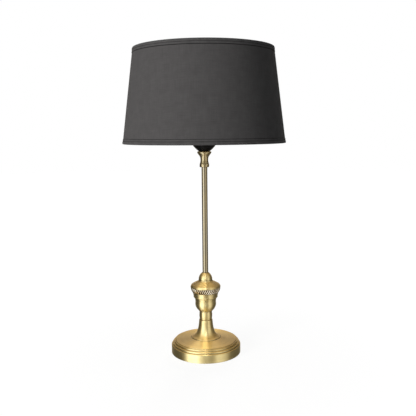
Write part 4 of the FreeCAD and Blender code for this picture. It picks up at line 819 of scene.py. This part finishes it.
class LAMP_OT_tapes(bpy.types.Operator):
    """Makes the tapes folded over both rims of the shade"""
    bl_idname = "lamp.tapes"
    bl_label = "Make rim tapes"

    def execute(self, context):
        given = context.scene.lamp_shade
        foot, head = wall_line("shade_fabric")
        # Painted shade in the fold of the tape.
        fold_shade_line = (4.55 * MM, 0.7 * MM, 0.75)
        look = cloth("rim tape", given.tape, given.thread, (0.75, 1.3), 0.00006, [fold_shade_line])
        down = (foot - head) / math.hypot(*(foot - head))
        self.make(given, look, "top_rim_tape", "top_tape", head, down, False)
        self.make(given, look, "bottom_rim_tape", "bottom_tape", foot, -down, True)
        return {"FINISHED"}

    def make(self, given, look, name, node, corner, along, slit):
        """Carries the tape's profile round the rim's corner. A point (along, out) lies at corner + along *
        (the wall's direction away from the rim) + out * (the wall's outward normal). Gathers add a few
        sines of the angle to out, and the tape rises where it lies on itself and on the cloth's seam.
        Slits leave room for the frame's arms."""
        profile = np.array(TAPE_PROFILE) * MM
        normal = np.array([abs(along[1]), abs(along[0])])
        angle, lift = wrap(BACK + 0.12, given.seam / corner[0], given.columns, 0.02)
        gathers = np.sin(131 * angle) + 0.8 * np.sin(167 * angle + 1.1) + 0.7 * np.sin(83 * angle + 2.3)
        loose = step((9.9 * MM - profile[:, 0]) / (2 * MM)) * step((profile[:, 0] + 2 * MM) / (3 * MM))
        rises = np.sign(profile[:, 1:] + 2 * MM) * TAPE_LAP * lift
        edge = profile[:, :1] + TAPE_WAVER * np.sin(23 * angle + 0.4) * (profile[:, :1] > 9 * MM)
        seam_end = BACK + TURN + given.seam / corner[0]
        over_seam = step((angle - BACK - TURN + 0.05) / 0.02) * step((seam_end + 0.02 - angle) / 0.02)
        outside = step((profile[:, 1:] + MM) / MM)
        away = profile[:, 1:] + TAPE_GATHER * gathers * loose[:, None] + rises
        away = away + (given.cloth_depth + CLOTH_GAP) * outside * over_seam
        across = corner[0] + along[0] * edge + normal[0] * away
        points = turned_points(across, corner[1] + along[1] * edge + normal[1] * away, angle)
        lengths = np.concatenate([[0.0], np.cumsum(np.hypot(*np.diff(profile, axis=0).T))])
        flat = np.stack(np.broadcast_arrays(angle[None, :] * corner[0], lengths[:, None]), axis=-1)
        skip = None
        if slit:
            points, flat = points[::-1], flat[::-1]
            skip = self.slits(angle, profile[::-1], corner[0])
        made = surface(name, points, flat, skip=skip)
        thicken(made, given.tape_depth)
        finish_piece(made, look, "shade", "shade_tape", node)

    def slits(self, angle, profile, across):
        """Grid cells of the inner side that an arm passes through."""
        middle = (angle[1:] + angle[:-1]) / 2
        gap = np.abs((middle - ARM_BEARINGS[:, None] + math.pi) % TURN - math.pi).min(axis=0)
        inner = (profile[:-1, 0] > -0.1 * MM) & (profile[:-1, 1] < -3 * MM)
        return inner[:, None] & (gap * across < HALF_SLIT)


class LAMP_OT_felt(bpy.types.Operator):
    """Makes the felt disc under the foot"""
    bl_idname = "lamp.felt"
    bl_label = "Make foot felt"

    def execute(self, context):
        """A closed profile of distance and height, turned round the axis: flat faces that meet the edge in
        quarter circles. Near the edge, the mean of three sines of the angle frays the distance."""
        low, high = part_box("foot_pad")
        radius, depth = high.x, high.z - low.z
        quarter = np.linspace(0.0, math.pi / 2, 6)
        inner = np.array([0.0, 0.1, 0.35, 0.7, 0.92]) * radius
        rim = np.stack([radius - FELT_CORNER * (1 - np.sin(quarter)), FELT_CORNER * (1 - np.cos(quarter))])
        lower = np.concatenate([np.stack([inner, np.zeros(5)]), rim], axis=1).T
        profile = np.concatenate([lower, (lower * (1, -1) + (0, depth))[::-1]])
        angle = np.linspace(0.0, TURN, 480, endpoint=False)
        frayed = (np.sin(61 * angle) + np.sin(97 * angle + 1.0) + np.sin(143 * angle + 2.0)) / 3
        edge = step((profile[:, 0] / radius - 0.93) / 0.06)[:, None]
        across = profile[:, :1] + edge * FELT_FRAY * (frayed - 1)
        made = surface("foot_felt", turned_points(across, profile[:, 1:], angle), joined=True, capped=True)
        felt = context.scene.lamp_fittings.felt
        look = textured("felt", "fuzz", {}, (felt, 0.7), (felt, 1.7), (0.88, 0.98), 0.0004,
                        Sheen_Weight=0.3, Sheen_Roughness=0.6, Specular_IOR_Level=0.15)
        finish_piece(made, look, "stand", "felt", "foot_pad")
        return {"FINISHED"}


# The studio that metal reflects: brightness by degrees to the right of the camera's side, first at the
# lamp's own level and then higher up.
LEVEL_TONES = {
    -180: 0.34, -160: 0.18, -145: 0.06, -125: 0.03, -108: 0.03, -90: 0.05, -80: 0.12,
    -71: 0.40, -62: 1.00, -31: 1.00, -23: 0.66, -13: 0.32, -4: 0.20, 8: 0.17, 20: 0.16,
    30: 0.28, 38: 0.52, 52: 0.52, 64: 0.42, 74: 0.30, 84: 0.11, 96: 0.06, 120: 0.05,
    140: 0.05, 160: 0.18, 180: 0.34}
HIGH_TONES = {
    -180: 1.00, -168: 0.80, -155: 0.55, -120: 0.32, -75: 0.42, -60: 0.72, -38: 0.85,
    -24: 1.20, -14: 2.20, -5: 2.80, 5: 2.20, 16: 0.80, 60: 0.36, 100: 0.28, 120: 0.32,
    145: 0.42, 158: 0.45, 170: 0.75, 180: 1.00}


# Lamps as name, place, aim, side and colour. Their powers are settings.
LAMPS = (("key", (-2.05, -2.22, 1.0), (0.0, 0.0, 0.42), 1.2, (1.0, 0.975, 0.95)),
         ("fill", (1.5, -1.1, 0.9), (0.0, 0.0, 0.35), 1.2, (0.9, 0.96, 1.0)),
         ("back", (0.6, 2.85, 1.2), (0.0, 0.0, 0.42), 1.2, (1.0, 0.99, 0.97)),
         ("overhead", (0.2, 0.2, 2.6), (0.0, 0.0, 0.5), 1.0, (1.0, 1.0, 1.0)))


class LAMP_OT_studio(bpy.types.Operator):
    """Sets up the pale floor, the soft lamps, the surroundings and the camera"""
    bl_idname = "lamp.studio"
    bl_label = "Set up studio"

    def execute(self, context):
        given = context.scene.lamp_studio
        self.floor()
        self.world(context.scene, given)
        for name, place, target, size, colour in LAMPS:
            self.lamp(name, place, target, size, getattr(given, name), colour)
        self.camera(context.scene, given)
        context.scene.view_settings.view_transform = "Standard"
        return {"FINISHED"}

    def floor(self):
        """A disc just under the felt that fades into the white of the surroundings and keeps the shadow.
        Metal sees almost nothing of it."""
        across = np.linspace(0.0, FLOOR_RADIUS, 13)[:, None]
        angle = np.linspace(0.0, TURN, 96, endpoint=False)
        made = surface("studio_floor", turned_points(across, FLOOR_LEVEL, angle)[::-1], joined=True)
        look, tree, shader, at = material("studio floor")
        fix(shader, Roughness=0.9, Specular_IOR_Level=0.0)
        grain = noise(tree, at["Object"], 3.0, 2.0, 0.5)
        feed(tree, shader, Base_Color=mixed(tree, grain, (0.80, 0.80, 0.80, 1.0), (0.84, 0.84, 0.84, 1.0)))
        glow = add(tree, "Emission", {"Color": WHITE, "Strength": 1.05}).outputs[0]
        path = add(tree, "LightPath").outputs
        eye = calc(tree, "MAXIMUM", path["Is Camera Ray"], path["Is Transmission Ray"])
        white = times(tree, eye, faded(tree, length_of(tree, at["Object"]), 0.15, 0.9, 0.86, 1.0))
        unseen = add(tree, "BsdfTransparent").outputs[0]
        shown = either(tree, times(tree, path["Is Glossy Ray"], 0.92),
                       either(tree, white, shader.outputs[0], glow), unseen)
        tree.links.new(shown, tree.nodes["Material Output"].inputs["Surface"])
        made.data.materials.append(look)

    def world(self, scene, given):
        """White for the eye and through glass, a faint even light, and for metal a studio whose panels
        are lighter and darker by their bearing, at the lamp's level and higher up."""
        world = bpy.data.worlds.new("studio")
        scene.world = world
        world.use_nodes = True
        world.cycles.sampling_method = "NONE"
        tree = world.node_tree
        light = tree.nodes["Background"]
        fix(light, Color=(0.86, 0.95, 1.0, 1.0), Strength=given.ambient)
        right, rear, upward = parts_of(tree, add(tree, "TexCoord").outputs["Generated"])
        bearing = calc(tree, "ARCTAN2", right, times(tree, rear, -1.0))
        share = plus(tree, calc(tree, "DIVIDE", bearing, TURN), 0.5)
        low, high = self.tones(tree, share, LEVEL_TONES), self.tones(tree, share, HIGH_TONES)
        tones = mixed(tree, faded(tree, upward, 0.25, 0.7, 0.0, 0.85), low, high)
        panels = add(tree, "Background", {"Color": tones, "Strength": given.gloss}).outputs[0]
        white = add(tree, "Background", {"Color": WHITE, "Strength": 1.0}).outputs[0]
        path = add(tree, "LightPath").outputs
        eye = calc(tree, "MAXIMUM", path["Is Camera Ray"], path["Is Transmission Ray"])
        unseen = either(tree, path["Is Glossy Ray"], light.outputs[0], panels)
        tree.links.new(either(tree, eye, unseen, white), tree.nodes["World Output"].inputs["Surface"])

    def tones(self, tree, share, table):
        """Colour round the horizon from a table of brightness by degrees. Darker tones are browner."""
        ramp = add(tree, "ValToRGB", {0: share})
        stops = ramp.color_ramp.elements
        stops.remove(stops[-1])
        for number, (degrees, tone) in enumerate(table.items()):
            place = degrees / 360 + 0.5
            stop = stops.new(place) if number else stops[0]
            stop.position = place
            pale = min(1.0, 1.3 * tone)
            stop.color = (tone, tone * (0.84 + 0.16 * pale), tone * (0.6 + 0.4 * pale), 1.0)
        return ramp.outputs[0]

    def lamp(self, name, place, target, size, power, colour):
        """A square soft lamp at place that faces target. Metal doesn't mirror it."""
        data = bpy.data.lights.new(name, "AREA")
        data.shape = "SQUARE"
        data.size = size
        data.energy = power
        data.color = colour
        made = bpy.data.objects.new(name, data)
        made.location = place
        made.rotation_euler = (Vector(target) - Vector(place)).to_track_quat("-Z", "Y").to_euler()
        made.visible_glossy = False
        bpy.context.collection.objects.link(made)

    def camera(self, scene, given):
        """A camera in front of the lamp, looking down by pitch, right by yaw and leaning by roll."""
        reach = math.cos(given.pitch)
        forward = Vector((math.sin(given.yaw) * reach, math.cos(given.yaw) * reach, -math.sin(given.pitch)))
        level = Vector((math.cos(given.yaw), -math.sin(given.yaw), 0.0))
        upright = level.cross(forward)
        right = math.cos(given.roll) * level + math.sin(given.roll) * upright
        above = -math.sin(given.roll) * level + math.cos(given.roll) * upright
        data = bpy.data.cameras.new("camera")
        data.sensor_width = 36.0
        data.lens = given.lens
        made = bpy.data.objects.new("camera", data)
        turn = Matrix((right, above, -forward)).transposed().to_4x4()
        made.matrix_world = Matrix.Translation((0.0, -given.distance, given.height)) @ turn
        bpy.context.collection.objects.link(made)
        scene.camera = made


class LAMP_PT_dressing(bpy.types.Panel):
    """Lists the lamp's settings and the steps that dress it"""
    bl_idname = "LAMP_PT_dressing"
    bl_label = "Candlestick lamp"
    bl_space_type = "VIEW_3D"
    bl_region_type = "UI"
    bl_category = "Lamp"

    def draw(self, context):
        for title, settings in SETTINGS.items():
            box = self.layout.box()
            given = getattr(context.scene, title)
            for key in settings.__annotations__:
                box.prop(given, key)
        for step_class in STEPS:
            self.layout.operator(step_class.bl_idname)


SETTINGS = {"lamp_brass": LampBrass, "lamp_shade": LampShade, "lamp_fittings": LampFittings,
            "lamp_studio": LampStudio}
STEPS = (LAMP_OT_studio, LAMP_OT_brass, LAMP_OT_lampholder, LAMP_OT_bulb, LAMP_OT_carrier,
         LAMP_OT_shade_cloth, LAMP_OT_lining, LAMP_OT_tapes, LAMP_OT_felt)


def register():
    """Registers the settings, the steps and the panel."""
    for item in (*SETTINGS.values(), *STEPS, LAMP_PT_dressing):
        bpy.utils.register_class(item)
    for title, settings in SETTINGS.items():
        setattr(bpy.types.Scene, title, PointerProperty(type=settings))


def unregister():
    """Takes out what register put in."""
    for title in SETTINGS:
        delattr(bpy.types.Scene, title)
    for item in (LAMP_PT_dressing, *reversed(STEPS), *reversed(SETTINGS.values())):
        bpy.utils.unregister_class(item)


def main():
    """Dresses the lamp."""
    register()
    for item in STEPS:
        family, action = item.bl_idname.split(".")
        getattr(getattr(bpy.ops, family), action)()


if __name__ == "__main__":
    main()
